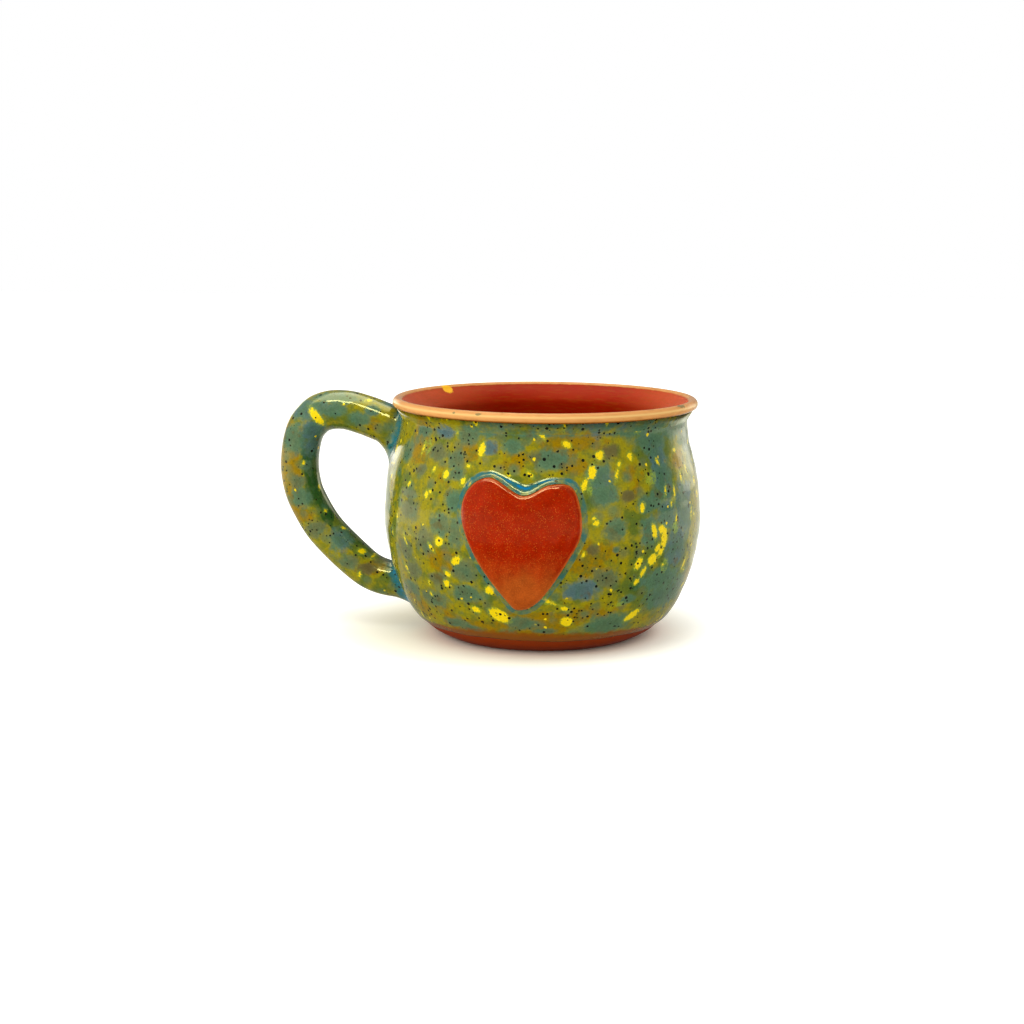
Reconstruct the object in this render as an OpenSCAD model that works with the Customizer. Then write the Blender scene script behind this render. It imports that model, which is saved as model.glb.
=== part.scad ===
// Hand-thrown stoneware mug with a bent grip and an applied heart.
// The foot stands on z = 0 about the Z axis, the grip points along -X and the heart faces -Y.

/* [Cup] */
// Height of the clay, from the table to the crest of the rim
height = 78.8; // [72:0.1:88]
// Diameter of the clay at the belly
belly_d = 104.6; // [96:0.5:114]
// Height of the belly's widest line
belly_z = 39.5; // [34:0.5:44]
// Diameter of the foot's edge on the table
foot_d = 64.3; // [54:0.1:74]
// How far the neck under the rim is drawn in from the belly, on each side
neck_inset = 5.4; // [3:0.1:8]
// Drop from the rim's crest to the neck's narrowest line
neck_drop = 7; // [6:0.1:9]
// Thickness of the wall
wall_t = 4; // [3:0.1:5]
// Thickness of the floor at the middle
floor_t = 5.5; // [4:0.1:8]

/* [Rim] */
// How far the rolled rim stands out from the neck, on each side
rim_flare = 3.4; // [1.6:0.1:4.4]
// Drop from the rim's crest to where the neck turns out to the bead
turn_drop = 4.2; // [3.6:0.1:4.8]
// How far the neck has opened again by there
turn_out = 0.5; // [0.2:0.1:0.8]
// Radius of the rim's rounded bead
bead_r = 1.5; // [1.2:0.05:2.4]

/* [Foot] */
// Width of the ring that touches the table
foot_ring_w = 6; // [4:0.1:9]
// Depth of the trimmed hollow under the foot
foot_hollow = 1.2; // [0.6:0.1:2]
// Height of the bare clay band above the table
bare_h = 5.6; // [4:0.1:9]

/* [Grip] */
// Thickness of the grip, seen from the side
grip_t = 12.1; // [10:0.1:14]
// Thickness of the grip at its lower end, to which it tapers
grip_end_t = 10.5; // [8:0.1:12]
// Width of the grip, seen from the end
grip_w = 13.4; // [11:0.1:16]
// Reach from the belly to the middle of the grip
grip_reach = 30.9; // [24:0.1:36]
// Height of the grip's lower joint
lower_joint_z = 15.4; // [13:0.1:19]
// Drop from the rim's crest to the grip's upper joint
upper_joint_drop = 11.6; // [10:0.1:15]
// Rise of the grip's crest line above its upper joint
grip_rise = 6.2; // [4:0.1:8]

/* [Joint coils] */
// Width of the upper coil at the wall
upper_coil_w = 2.2; // [1.2:0.1:3]
// Width of the lower coil at the wall
lower_coil_w = 1; // [0.6:0.1:2]
// Length of the coil along the grip
coil_len = 8; // [5:0.1:11]
// Thickness of the coil's feathered edge
coil_edge = 0.35; // [0.25:0.05:0.6]

/* [Heart] */
// Width of the heart
heart_w = 37.9; // [30:0.1:44]
// Height of the heart from tip to lobe
heart_h = 41.8; // [34:0.1:46]
// Drop of the heart's middle below the belly's widest line
heart_drop = 1.35; // [-2:0.05:4]
// Thickness of the heart's slab
heart_t = 2.1; // [1.4:0.1:3.5]

/* [Slip and glaze] */
// Thickness of the slip under each applied piece
slip_t = 0.3; // [0.2:0.05:0.5]
// Thickness of the mottled glaze outside
glaze_t = 0.5; // [0.3:0.05:0.8]
// Thickness of the glaze inside and over the rim
lining_t = 0.3; // [0.2:0.05:0.5]
// Thickness of the glaze on the heart
heart_glaze_t = 0.25; // [0.2:0.05:0.5]

/* [Hidden] */

$fn = 120;
// How far a cutting solid runs past what it cuts
overrun = 2;

belly_r = belly_d / 2;
foot_r = foot_d / 2;
neck_r = belly_r - neck_inset;
neck_z = height - neck_drop;
bead_centre = [neck_r + rim_flare - bead_r, height - bead_r];

// Angles on the rim's bead where the outside and the inside of the wall meet it
bead_from = -80;
bead_to = 150;
bead_step = 16;

// Steps of each stretch of a curve between two of its chosen points
profile_steps = 3;
heart_steps = 6;
grip_steps = 4;
grip_sides = 18;

// The bowl from foot to belly, as shares of its spread and its rise
bowl_shares = [[0, 0], [0.31, 0.09], [0.61, 0.27], [0.85, 0.55], [0.97, 0.82], [1, 1]];
// The shoulder from belly to neck, as shares of its draw inwards and its rise
shoulder_shares = [[0.14, 0.32], [0.39, 0.55], [0.8, 0.79], [1, 1]];
// The throat, from the rim's bead down to the neck's inside, in the same way
throat_shares = [[0.55, 0.35], [0.88, 0.68]];

// The heart's outline, anticlockwise from its tip, as shares of its half width and its height
heart_shares = [[-0.056, 0], [0.295, 0.084], [0.761, 0.388], [0.985, 0.623], [0.853, 0.919], [0.477, 0.957],
    [0.036, 0.878], [-0.515, 1], [-0.899, 0.898], [-0.989, 0.676], [-0.722, 0.374], [-0.274, 0.089]];

// The grip's centre line between its joints, from the top, as shares of its reach from the belly
// and of its height from the lower joint to its crest
grip_shares = [[0.07, 0.931], [0.27, 0.97], [0.48, 0.998], [0.675, 0.993], [0.825, 0.954],
    [0.945, 0.865], [1, 0.71], [0.98, 0.57], [0.91, 0.46], [0.73, 0.3], [0.42, 0.135], [0.16, 0.035]];
// How fast the grip tapers towards its lower end
taper_power = 5;
// How near the axis the grip's line starts and ends inside the wall, as a share of the wall's radius
root_share = 0.62;

function unit(v) = v / norm(v);

// A smooth curve through b and c, which heads on from a and towards d
function between(a, b, c, d, t) =
    (2 * b + (c - a) * t + (2 * a - 5 * b + 4 * c - d) * t ^ 2 + (3 * b - a - 3 * c + d) * t ^ 3) / 2;

// The curve through all the points of an open line
function smooth(points, steps) = let (last = len(points) - 1)
    [for (i = [0 : last - 1], k = [0 : steps - 1])
        let (before = i > 0 ? points[i - 1] : 2 * points[0] - points[1])
        let (after = i < last - 1 ? points[i + 2] : 2 * points[last] - points[last - 1])
        between(before, points[i], points[i + 1], after, k / steps),
    points[last]];

// The curve through all the points of a closed line
function smooth_loop(points, steps) = let (n = len(points))
    [for (i = [0 : n - 1], k = [0 : steps - 1])
        between(points[(i + n - 1) % n], points[i], points[(i + 1) % n], points[(i + 2) % n], k / steps)];

function reversed(list) = [for (i = [len(list) - 1 : -1 : 0]) list[i]];
function part_of(list, from, to) = [for (i = [from : to]) list[i]];

// Direction of an open line at each of its points
function heading(points, i) = unit(points[min(i + 1, len(points) - 1)] - points[max(i - 1, 0)]);

// An open line moved to its right by t, which is away from the clay on the cup's section
function moved_out(points, t) =
    [for (i = [0 : len(points) - 1]) let (d = heading(points, i)) points[i] + t * [d.y, -d.x]];

// A closed anticlockwise outline grown by t
function grown_loop(points, t) = let (n = len(points))
    [for (i = [0 : n - 1]) let (d = unit(points[(i + 1) % n] - points[(i + n - 1) % n]))
        points[i] + t * [d.y, -d.x]];

// Chosen points of a wall that stands t inside the cup's outer surface
function bowl_points(from, t) =
    [for (s = bowl_shares) from + [s.x * (belly_r - t - from.x), s.y * (belly_z - from.y)]];
function shoulder_points(t) =
    [for (s = shoulder_shares) [belly_r - t - s.x * (belly_r - neck_r), belly_z + s.y * (neck_z - belly_z)]];
function bead_point(angle) = bead_centre + bead_r * [cos(angle), sin(angle)];

// The cup's section: up the outside, over the rim, and down the inside to the middle of the floor
outside = smooth(concat(bowl_points([foot_r, 0], 0), shoulder_points(0),
    [[neck_r + turn_out, height - turn_drop]], [bead_point(bead_from)]), profile_steps);
bead = [for (a = [bead_from + bead_step : bead_step : bead_to - bead_step]) bead_point(a)];
inner_neck = [neck_r - wall_t, neck_z];
throat_top = bead_point(bead_to);
throat = [for (s = throat_shares)
    [throat_top.x + s.x * (inner_neck.x - throat_top.x), throat_top.y + s.y * (inner_neck.y - throat_top.y)]];
floor_edge = [foot_r - wall_t, floor_t];
inside = smooth(concat([throat_top], throat, reversed(shoulder_points(wall_t)),
    reversed(bowl_points(floor_edge, wall_t))), profile_steps);
section = concat(outside, bead, inside, [[foot_r - wall_t - foot_ring_w, floor_t], [0, floor_t]]);
rim_start = len(outside) - 1;
section_end = len(section) - 1;

// Radius of the cup's outside at a height
function wall_r(z) = lookup(z, [for (p = outside) [p.y, p.x]]);

upper_joint_z = height - upper_joint_drop;
grip_crest_z = upper_joint_z + grip_rise;
function grip_point(s) =
    [belly_r + s.x * grip_reach, lower_joint_z + s.y * (grip_crest_z - lower_joint_z)];
grip_line = smooth(concat([[root_share * neck_r, upper_joint_z], [wall_r(upper_joint_z), upper_joint_z]],
    [for (s = grip_shares) grip_point(s)],
    [[wall_r(lower_joint_z), lower_joint_z], [root_share * wall_r(lower_joint_z), lower_joint_z]]),
    grip_steps);
grip_last = len(grip_line) - 1;
grip_middle = round(grip_last / 2);

// How far a station of the grip stands out from the wall at its own end of the line
function stand_out(i) =
    grip_line[i].x - wall_r(i < grip_middle ? upper_joint_z : lower_joint_z);
// What the coil adds there: all of its width at the wall, down to its feathered edge
function coil_at(i) = let (left = 1 - max(0, stand_out(i)) / coil_len)
    left > 0 ? coil_edge + (i < grip_middle ? upper_coil_w : lower_coil_w) * left ^ 2 : 0;
upper_coil_end = max([for (i = [0 : grip_middle]) if (coil_at(i) > 0) i]);
lower_coil_end = min([for (i = [grip_middle : grip_last]) if (coil_at(i) > 0) i]);

heart_middle_z = belly_z - heart_drop;
heart_outline = smooth_loop([for (s = heart_shares)
    [s.x * heart_w / 2, heart_middle_z + (s.y - 1 / 2) * heart_h]], heart_steps);

// Half the grip's thickness at a station
function half_t(i) = (grip_t - (grip_t - grip_end_t) * (i / grip_last) ^ taper_power) / 2;

// A closed tube along the grip's line from one station to another, thicker by extra[i] all round
module grip_tube(from, to, extra) {
    sides = [0 : grip_sides - 1];
    rings = [for (i = [from : to])
        let (c = grip_line[i], d = heading(grip_line, i))
        let (a = half_t(i) + extra[i], b = grip_w / 2 + extra[i])
        for (k = sides) let (angle = 360 * k / grip_sides)
            [-c.x - a * cos(angle) * d.y, b * sin(angle), c.y + a * cos(angle) * -d.x]];
    last = (to - from) * grip_sides;
    wall_faces = [for (r = [0 : grip_sides : last - grip_sides], k = sides)
        let (p = r + k, q = r + (k + 1) % grip_sides)
        each [[p, q, p + grip_sides], [q, q + grip_sides, p + grip_sides]]];
    polyhedron(rings, concat(wall_faces, [[for (k = sides) grip_sides - 1 - k]], [[for (k = sides) last + k]]));
}

bare_grip = [for (i = [0 : grip_last]) 0];
coiled_grip = [for (i = [0 : grip_last]) coil_at(i)];

// The grip with its coils, and a coat of thickness t over them
module coated_grip(t) {
    grip_tube(0, grip_last, [for (e = coiled_grip) e + t]);
}

// The two ends of the grip with their coils
module coiled_ends() {
    grip_tube(0, upper_coil_end, coiled_grip);
    grip_tube(lower_coil_end, grip_last, coiled_grip);
}

// All that lies inside the cup's outer surface moved out by t, the hollow included
module cup_filled(t) {
    skin = moved_out(concat(outside, bead), t);
    top = skin[len(skin) - 1].y;
    rotate_extrude() polygon(concat([[0, min(0, skin[0].y)]], skin, [[0, top]]));
}

// A coat of thickness t over the section between two of its points
module coat(from, to, t) {
    inner = part_of(section, from, to);
    outer = part_of(moved_out(section, t), from, to);
    rotate_extrude() polygon(concat(outer, reversed(inner)));
}

// A straight bar with the heart's outline grown by t, from the axis out past the wall
module heart_bar(t) {
    rotate([90, 0, 0]) linear_extrude(belly_r + heart_t + overrun) polygon(grown_loop(heart_outline, t));
}

// That bar, cut off at a distance from the cup's wall
module heart_stack(to, t) {
    intersection() {
        cup_filled(to);
        heart_bar(t);
    }
}

// The heart's outline grown by t, between two distances from the cup's wall
module heart_layer(from, to, t) {
    difference() {
        heart_stack(to, t);
        cup_filled(from);
    }
}

module cup_body() {
    underside = [[0, foot_hollow], [foot_r - foot_ring_w - foot_hollow, foot_hollow], [foot_r - foot_ring_w, 0]];
    color("sienna") rotate_extrude() polygon(concat(underside, section));
}

module handle() {
    color("peru") difference() {
        grip_tube(0, grip_last, bare_grip);
        cup_filled(slip_t);
    }
}

// The coil between two stations, round the grip and against the wall
module joint_coil(from, to) {
    difference() {
        grip_tube(from, to, coiled_grip);
        grip_tube(max(from - 1, 0), min(to + 1, grip_last), bare_grip);
        cup_filled(0);
    }
}

module upper_joint_coil() {
    color("olivedrab") joint_coil(0, upper_coil_end);
}

module lower_joint_coil() {
    color("olivedrab") joint_coil(lower_coil_end, grip_last);
}

// The slip under one end of the grip
module joint_slip(from, to) {
    difference() {
        intersection() {
            grip_tube(from, to, bare_grip);
            cup_filled(slip_t);
        }
        cup_filled(0);
    }
}

module upper_joint_slip() {
    color("wheat") joint_slip(0, upper_coil_end);
}

module lower_joint_slip() {
    color("wheat") joint_slip(lower_coil_end, grip_last);
}

module heart() {
    color("firebrick") heart_layer(slip_t, slip_t + heart_t, 0);
}

module heart_slip() {
    color("wheat") heart_layer(0, slip_t, 0);
}

module body_glaze() {
    color("cadetblue") difference() {
        coat(0, rim_start, glaze_t);
        translate([0, 0, -overrun]) cylinder(h = overrun + bare_h, d = belly_d);
        coiled_ends();
        heart_bar(heart_glaze_t);
    }
}

module handle_glaze() {
    color("darkseagreen") difference() {
        coated_grip(glaze_t);
        coated_grip(0);
        cup_filled(glaze_t);
    }
}

module lining_glaze() {
    color("saddlebrown") difference() {
        coat(rim_start, section_end, lining_t);
        difference() {
            grip_tube(0, upper_coil_end, coiled_grip);
            cup_filled(-slip_t);
        }
    }
}

module heart_glaze() {
    color("orangered") difference() {
        heart_layer(0, slip_t + heart_t + heart_glaze_t, heart_glaze_t);
        heart_stack(slip_t + heart_t, 0);
    }
}

cup_body();
handle();
upper_joint_coil();
lower_joint_coil();
upper_joint_slip();
lower_joint_slip();
heart();
heart_slip();
body_glaze();
handle_glaze();
lining_glaze();
heart_glaze();
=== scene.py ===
import math

import bpy
import numpy as np
from mathutils import Matrix, Vector


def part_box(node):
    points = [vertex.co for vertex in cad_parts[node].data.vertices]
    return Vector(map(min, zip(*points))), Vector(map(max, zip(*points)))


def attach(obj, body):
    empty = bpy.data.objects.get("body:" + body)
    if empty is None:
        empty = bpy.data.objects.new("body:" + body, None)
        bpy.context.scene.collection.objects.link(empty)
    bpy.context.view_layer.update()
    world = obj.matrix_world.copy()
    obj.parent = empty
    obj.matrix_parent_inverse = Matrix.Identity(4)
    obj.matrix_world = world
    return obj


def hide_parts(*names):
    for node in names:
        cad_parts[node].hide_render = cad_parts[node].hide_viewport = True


bl_info = {
    "name": "Thrown mug with a heart",
    "version": (1, 0),
    "blender": (4, 5, 0),
    "location": "View3D > Sidebar > Mug",
    "description": "Clay, glazes and studio of a hand-thrown mug with an applied heart",
    "category": "Object",
}

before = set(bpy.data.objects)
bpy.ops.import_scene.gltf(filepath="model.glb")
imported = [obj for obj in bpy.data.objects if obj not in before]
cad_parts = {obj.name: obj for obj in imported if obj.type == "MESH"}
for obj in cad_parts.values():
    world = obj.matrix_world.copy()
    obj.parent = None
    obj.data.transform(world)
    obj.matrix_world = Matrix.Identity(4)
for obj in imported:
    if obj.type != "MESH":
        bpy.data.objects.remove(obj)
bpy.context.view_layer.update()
CUP_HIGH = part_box("cup_body")[1]
GLAZE_LOW, GLAZE_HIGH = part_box("body_glaze")
LINING_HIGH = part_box("lining_glaze")[1]
GRIP_LOW, GRIP_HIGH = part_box("handle")
HEART_LOW, HEART_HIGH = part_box("heart")

MM = 0.001
BAKE_MAP = "OFBake"

# Shares of the spread and the rise of each stretch of the cup's wall
BOWL_SHARES = np.array([(0, 0), (0.31, 0.09), (0.61, 0.27), (0.85, 0.55), (0.97, 0.82), (1, 1)])
SHOULDER_SHARES = np.array([(0.14, 0.32), (0.39, 0.55), (0.8, 0.79), (1, 1)])
THROAT_SHARES = np.array([(0.55, 0.35), (0.88, 0.68)])
# Angles on the rim's bead where the outside and the inside meet it, in degrees
BEAD_FROM, BEAD_TO = -80, 150
# Where the two glazes meet on it, and where the lining's thin band ends
MEETING, BAND_END = -64, 112
# Where a highlight is painted along it
RIM_HIGHLIGHT_ANGLE = 20
# The heart's outline, anticlockwise from its tip, as shares of its half width and its height
HEART_SHARES = np.array([
    (-0.056, 0), (0.295, 0.084), (0.761, 0.388), (0.985, 0.623), (0.853, 0.919), (0.477, 0.957),
    (0.036, 0.878), (-0.515, 1), (-0.899, 0.898), (-0.989, 0.676), (-0.722, 0.374), (-0.274, 0.089)])
# The grip's centre line from the top, as shares of its reach and of its height
GRIP_SHARES = np.array([
    (0.07, 0.931), (0.27, 0.97), (0.48, 0.998), (0.675, 0.993), (0.825, 0.954), (0.945, 0.865),
    (1, 0.71), (0.98, 0.57), (0.91, 0.46), (0.73, 0.3), (0.42, 0.135), (0.16, 0.035)])
TAPER_POWER = 5
ROOT_SHARE = 0.62
FINE_STEPS = 24

# Yellow flakes on the side that the photograph shows: its pixel across and down, length and width
# in millimetres as seen, and lean from level in degrees
SEEN_FLAKES = (
    (316, 417, 6.6, 2.5, -50), (369, 400, 2.4, 1.2, 10), (291, 471, 1.6, 1.0, 90),
    (303, 463, 1.3, 0.9, 60), (301, 484, 1.8, 1.0, 35), (311, 518, 1.4, 1.1, 0),
    (319, 520, 1.9, 1.1, -20), (343, 527, 1.7, 1.0, -25), (361, 551, 2.9, 1.9, 0),
    (319, 487, 1.4, 1.0, 60), (374, 556, 2.6, 0.7, 20), (360, 574, 1.5, 0.9, 80),
    (325, 510, 1.2, 0.8, 30), (482, 449, 4.0, 2.0, 80), (446, 475, 2.6, 2.0, 75), (469, 466, 1.0, 0.9, 0),
    (463, 481, 2.4, 1.5, 65), (470, 483, 2.2, 1.7, 50), (426, 494, 1.9, 1.3, 80), (431, 491, 1.2, 0.9, 0),
    (434, 469, 1.5, 0.9, 70), (409, 484, 1.9, 1.1, 50), (425, 448, 2.8, 0.8, 85),
    (458, 428, 2.2, 0.6, 85), (423, 420, 2.0, 1.3, -40), (397, 516, 1.6, 0.6, -70),
    (439, 542, 3.1, 2.7, 30), (431, 547, 2.6, 1.0, -52), (405, 540, 2.3, 0.7, -62),
    (456, 561, 3.8, 2.2, 35), (448, 573, 2.3, 1.5, -35), (447, 583, 2.4, 2.0, 60),
    (407, 568, 1.9, 0.8, -60), (429, 582, 1.2, 0.8, 80), (489, 590, 2.9, 2.5, 0),
    (476, 610, 2.8, 2.2, -20), (500, 615, 7.0, 4.2, -33), (566, 622, 3.8, 3.4, -30),
    (632, 615, 5.6, 2.6, 35), (597, 637, 2.0, 0.7, -12), (565, 609, 2.8, 1.2, -32),
    (550, 602, 4.2, 0.9, -20), (431, 594, 1.3, 1.0, 80), (542, 434, 3.2, 1.3, -55),
    (567, 444, 2.7, 1.7, -30), (599, 455, 2.9, 2.5, 60), (640, 427, 3.2, 1.6, 40),
    (629, 456, 2.5, 1.8, -65), (619, 464, 1.4, 1.0, 60), (617, 475, 2.4, 0.8, 75),
    (592, 472, 4.2, 2.4, 78), (585, 486, 4.2, 1.5, 66), (572, 487, 2.8, 1.2, -50),
    (531, 475, 2.2, 1.0, -45), (508, 475, 1.0, 0.9, 0), (657, 461, 1.9, 0.9, -60),
    (642, 507, 2.8, 1.8, 80), (597, 524, 1.9, 1.6, 0), (595, 518, 1.0, 0.9, 0), (655, 531, 4.6, 1.9, -75),
    (662, 529, 2.8, 2.6, 0), (664, 538, 6.0, 2.5, 85), (661, 551, 3.0, 1.9, 75), (653, 559, 3.8, 3.3, 35),
    (638, 564, 3.9, 2.3, 65), (643, 572, 3.2, 1.6, 65), (636, 582, 2.0, 1.5, 50),
    (583, 555, 1.4, 0.9, 70), (670, 503, 1.5, 0.9, 80), (666, 491, 2.2, 0.7, 75),
    (674, 491, 3.2, 0.7, 85), (681, 477, 2.4, 1.1, -80), (686, 469, 2.8, 1.1, -75),
    (674, 450, 1.4, 1.2, 0), (691, 512, 2.8, 0.9, 80), (683, 563, 3.6, 1.2, 70), (676, 519, 1.9, 0.8, 80),
    (663, 565, 1.0, 0.8, 0), (658, 548, 2.6, 1.8, 60), (665, 531, 2.2, 1.6, 20))
# Patches of green-yellow veins there: pixel across and down, width and height in millimetres as seen,
# and a 0, as they have no hue
SEEN_VEINS = (
    (650, 478, 4.6, 6.6, 0), (428, 446, 3.4, 6.0, 0), (456, 428, 4.0, 3.0, 0), (664, 565, 2.4, 6.0, 0),
    (590, 490, 2.0, 6.0, 0), (620, 604, 4.0, 2.0, 0), (676, 527, 2.4, 5.0, 0), (545, 603, 5.0, 1.6, 0))
# Blue-grey blots there: pixel across and down, width and height in millimetres as seen, and hue,
# from 0 for slate grey through 0.5 for teal to 1 for blue
SEEN_BLOTS = (
    (446, 431, 5.7, 4.3, 1.0), (469, 435, 6.4, 6.2, 0.3), (437, 453, 6.2, 5.2, 0.1),
    (456, 460, 5.2, 7.0, 0.2), (421, 470, 3.0, 3.4, 0.0), (457, 474, 4.8, 4.2, 0.2),
    (408, 451, 3.0, 6.5, 0.3), (409, 509, 5.6, 7.2, 0.1), (453, 500, 5.2, 7.0, 0.5),
    (440, 524, 6.2, 7.2, 0.3), (424, 541, 5.2, 9.0, 0.1), (455, 534, 4.6, 9.0, 0.3),
    (405, 549, 3.4, 7.2, 0.1), (465, 571, 6.6, 8.4, 0.2), (438, 578, 4.8, 4.4, 0.1),
    (414, 570, 4.2, 5.6, 0.1), (410, 494, 4.2, 3.6, 0.2), (425, 431, 4.4, 3.6, 0.4),
    (552, 459, 12.6, 6.2, 0.4), (513, 448, 6.4, 5.0, 0.5), (490, 447, 4.8, 4.6, 0.9),
    (489, 430, 8.2, 4.6, 0.6), (535, 430, 14.0, 5.0, 0.5), (575, 429, 12.0, 4.6, 0.4),
    (602, 428, 11.6, 5.0, 0.8), (628, 429, 8.4, 5.6, 0.5), (611, 451, 5.8, 3.8, -0.5),
    (601, 478, 7.6, 8.2, 0.6), (606, 494, 8.2, 6.6, 0.5), (628, 496, 4.2, 3.4, -0.5),
    (617, 529, 6.0, 6.4, 0.4), (617, 550, 2.4, 2.4, 0.3), (650, 531, 5.6, 9.6, 0.6),
    (606, 578, 7.2, 6.0, 0.1), (583, 590, 9.4, 7.2, 0.9), (658, 459, 4.8, 12.0, 0.7),
    (647, 442, 6.2, 4.6, 0.4), (687, 491, 2.8, 6.2, 0.8), (674, 534, 3.0, 9.0, 0.7),
    (656, 499, 4.8, 6.0, 0.5), (661, 579, 10.0, 8.6, 0.6), (681, 437, 3.0, 5.0, 0.5),
    (522, 623, 7.0, 5.4, 0.3), (547, 631, 4.8, 2.4, 0.3), (609, 624, 9.8, 8.4, 0.5),
    (495, 635, 2.8, 2.0, 0.0), (471, 628, 4.8, 3.2, 0.3), (457, 623, 4.8, 4.0, 0.3),
    (627, 600, 4.0, 3.2, 0.4), (660, 596, 7.0, 9.4, 0.6), (467, 593, 8.6, 6.6, 0.3),
    (434, 598, 6.4, 6.2, 0.2), (412, 588, 4.2, 5.4, 0.2), (312, 431, 9.0, 8.0, 0.8),
    (319, 407, 7.0, 4.6, 0.6), (334, 410, 8.0, 5.0, 0.6), (360, 418, 7.2, 4.6, 0.5),
    (298, 452, 6.0, 4.4, 0.8), (298, 482, 5.2, 4.4, 0.1), (300, 497, 6.2, 7.4, 0.4),
    (316, 497, 6.2, 8.6, 0.8), (316, 529, 7.0, 5.6, 0.1), (340, 539, 7.2, 8.0, 0.7),
    (349, 563, 6.6, 4.6, 0.1), (329, 521, 3.4, 2.6, 0.7), (372, 411, 4.6, 4.0, 0.6),
    (306, 466, 4.0, 3.6, 0.4), (652, 441, 9.0, 8.0, 0.6), (663, 478, 6.0, 16.0, 0.65),
    (646, 505, 5.0, 6.0, 0.4), (684, 508, 5.0, 18.0, 0.7), (668, 515, 6.0, 10.0, 0.7),
    (677, 545, 5.0, 16.0, 0.8), (672, 590, 7.0, 12.0, 0.6), (592, 550, 3.4, 3.0, -0.6),
    (613, 533, 6.0, 6.0, 0.2), (366, 568, 6.0, 4.0, -0.5), (686, 440, 4.0, 9.0, 0.6),
    (655, 428, 14.0, 5.4, 0.6), (676, 426, 9.0, 7.0, 0.6), (510, 428, 10.0, 4.2, 0.5),
    (306, 410, 9.0, 8.0, 0.7), (332, 397, 12.0, 5.0, 0.6), (292, 440, 8.0, 10.0, 0.6),
    (353, 411, 8.0, 6.0, 0.5), (320, 440, 6.0, 12.0, 0.7), (548, 428, 22.0, 4.8, 0.6),
    (596, 427, 20.0, 5.4, 0.7), (640, 426, 18.0, 5.4, 0.6), (500, 427, 12.0, 4.6, 0.5))
# Warmer and cooler grounds there: pixel across and down, width and height in millimetres as seen,
# and warmth, above 0 for amber and below 0 for green
# The green grounds along the grip's inner side are partly painted shade there, partly its pooled glaze.
SEEN_GROUNDS = (
    (575, 440, 22, 9, 1.0), (560, 446, 12, 8, 0.8), (640, 480, 10, 12, 0.4), (601, 540, 16, 20, 0.6),
    (583, 566, 12, 12, 0.9), (500, 632, 30, 8, 0.9), (540, 622, 34, 9, 0.7), (677, 460, 6, 6, 1.2),
    (466, 452, 8, 12, 0.5), (447, 562, 12, 10, 0.7), (421, 440, 6, 20, 0.7), (430, 610, 20, 12, 0.6),
    (513, 462, 12, 8, 0.7), (575, 466, 10, 6, 1.0), (660, 570, 20, 26, -0.8), (662, 470, 12, 30, -0.6),
    (530, 431, 60, 7, -0.6), (595, 520, 10, 30, -0.2), (600, 610, 20, 8, 0.5), (283, 470, 8, 44, 1.0),
    (300, 540, 14, 14, 0.7), (330, 572, 24, 10, 0.5), (376, 567, 7, 6, 1.6), (352, 404, 14, 6, 0.3),
    (320, 470, 9, 44, -1.2), (345, 520, 12, 22, -1.0), (373, 548, 12, 9, -0.6), (342, 425, 20, 5, -0.7),
    (373, 424, 8, 5, 0.8), (308, 514, 8, 6, 1.0))
# The yellow fleck inside the cup and the grey smudges on its rim: pixel across and down, width and
# height in millimetres as seen, and the kind, 1 for the fleck and 0 for a smudge
LINING_SPOTS = (
    (448, 389, 2.9, 2.6, 1.0), (478, 414, 1.8, 0.9, 0.0), (681, 406, 2.2, 1.0, 0.0),
    (454, 413, 1.0, 0.8, 0.0))
# How many more of each lie on the sides that the photograph doesn't show, and the draw's seed
HIDDEN_SEED = 11
HIDDEN_BLOTS, HIDDEN_FLAKES, HIDDEN_GROUNDS = 210, 230, 70
# How squarely a surface has to face the camera for its marks to be read, and the smallest such value
# that a mark is widened by
EDGE_ON, LEAST_FACING = 0.12, 0.4
# Pixels between a mark's middle and the surface point it is set on, and a value for never seen
NEAREST_PIXELS, NEVER_SEEN = 4, 1e6
# A spot's value far outside it, and how deep under its middle it still shows
FAR, SPOT_DEPTH = 9.0, 4 * MM

GRIP_SIDES = 72
HEART_COLUMNS = 384
# Rows of the heart's face, of its side, of a joint's fillet and of the cap on an end of the grip
FACE_ROWS, SIDE_ROWS, FILLET_ROWS, CAP_ROWS = 44, 7, 12, 6
# A hair's breadth, by which a coat ends above what it lies on or a coil ends below it
HAIR = 0.02 * MM

# Linear colours of the paper floor and of the glowing cards
PAPER = (0.90, 0.89, 0.78)
CARD_WHITE = (1, 0.97, 0.84)
# The strength that the dark cards on the floor fade to at their edges
FLOOR_AROUND = 0.7
# The point that the lamps look at, and the width of the camera's sensor in millimetres
LAMP_AIM = (0, 0, 0.04)
SENSOR_WIDTH = 36
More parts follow.
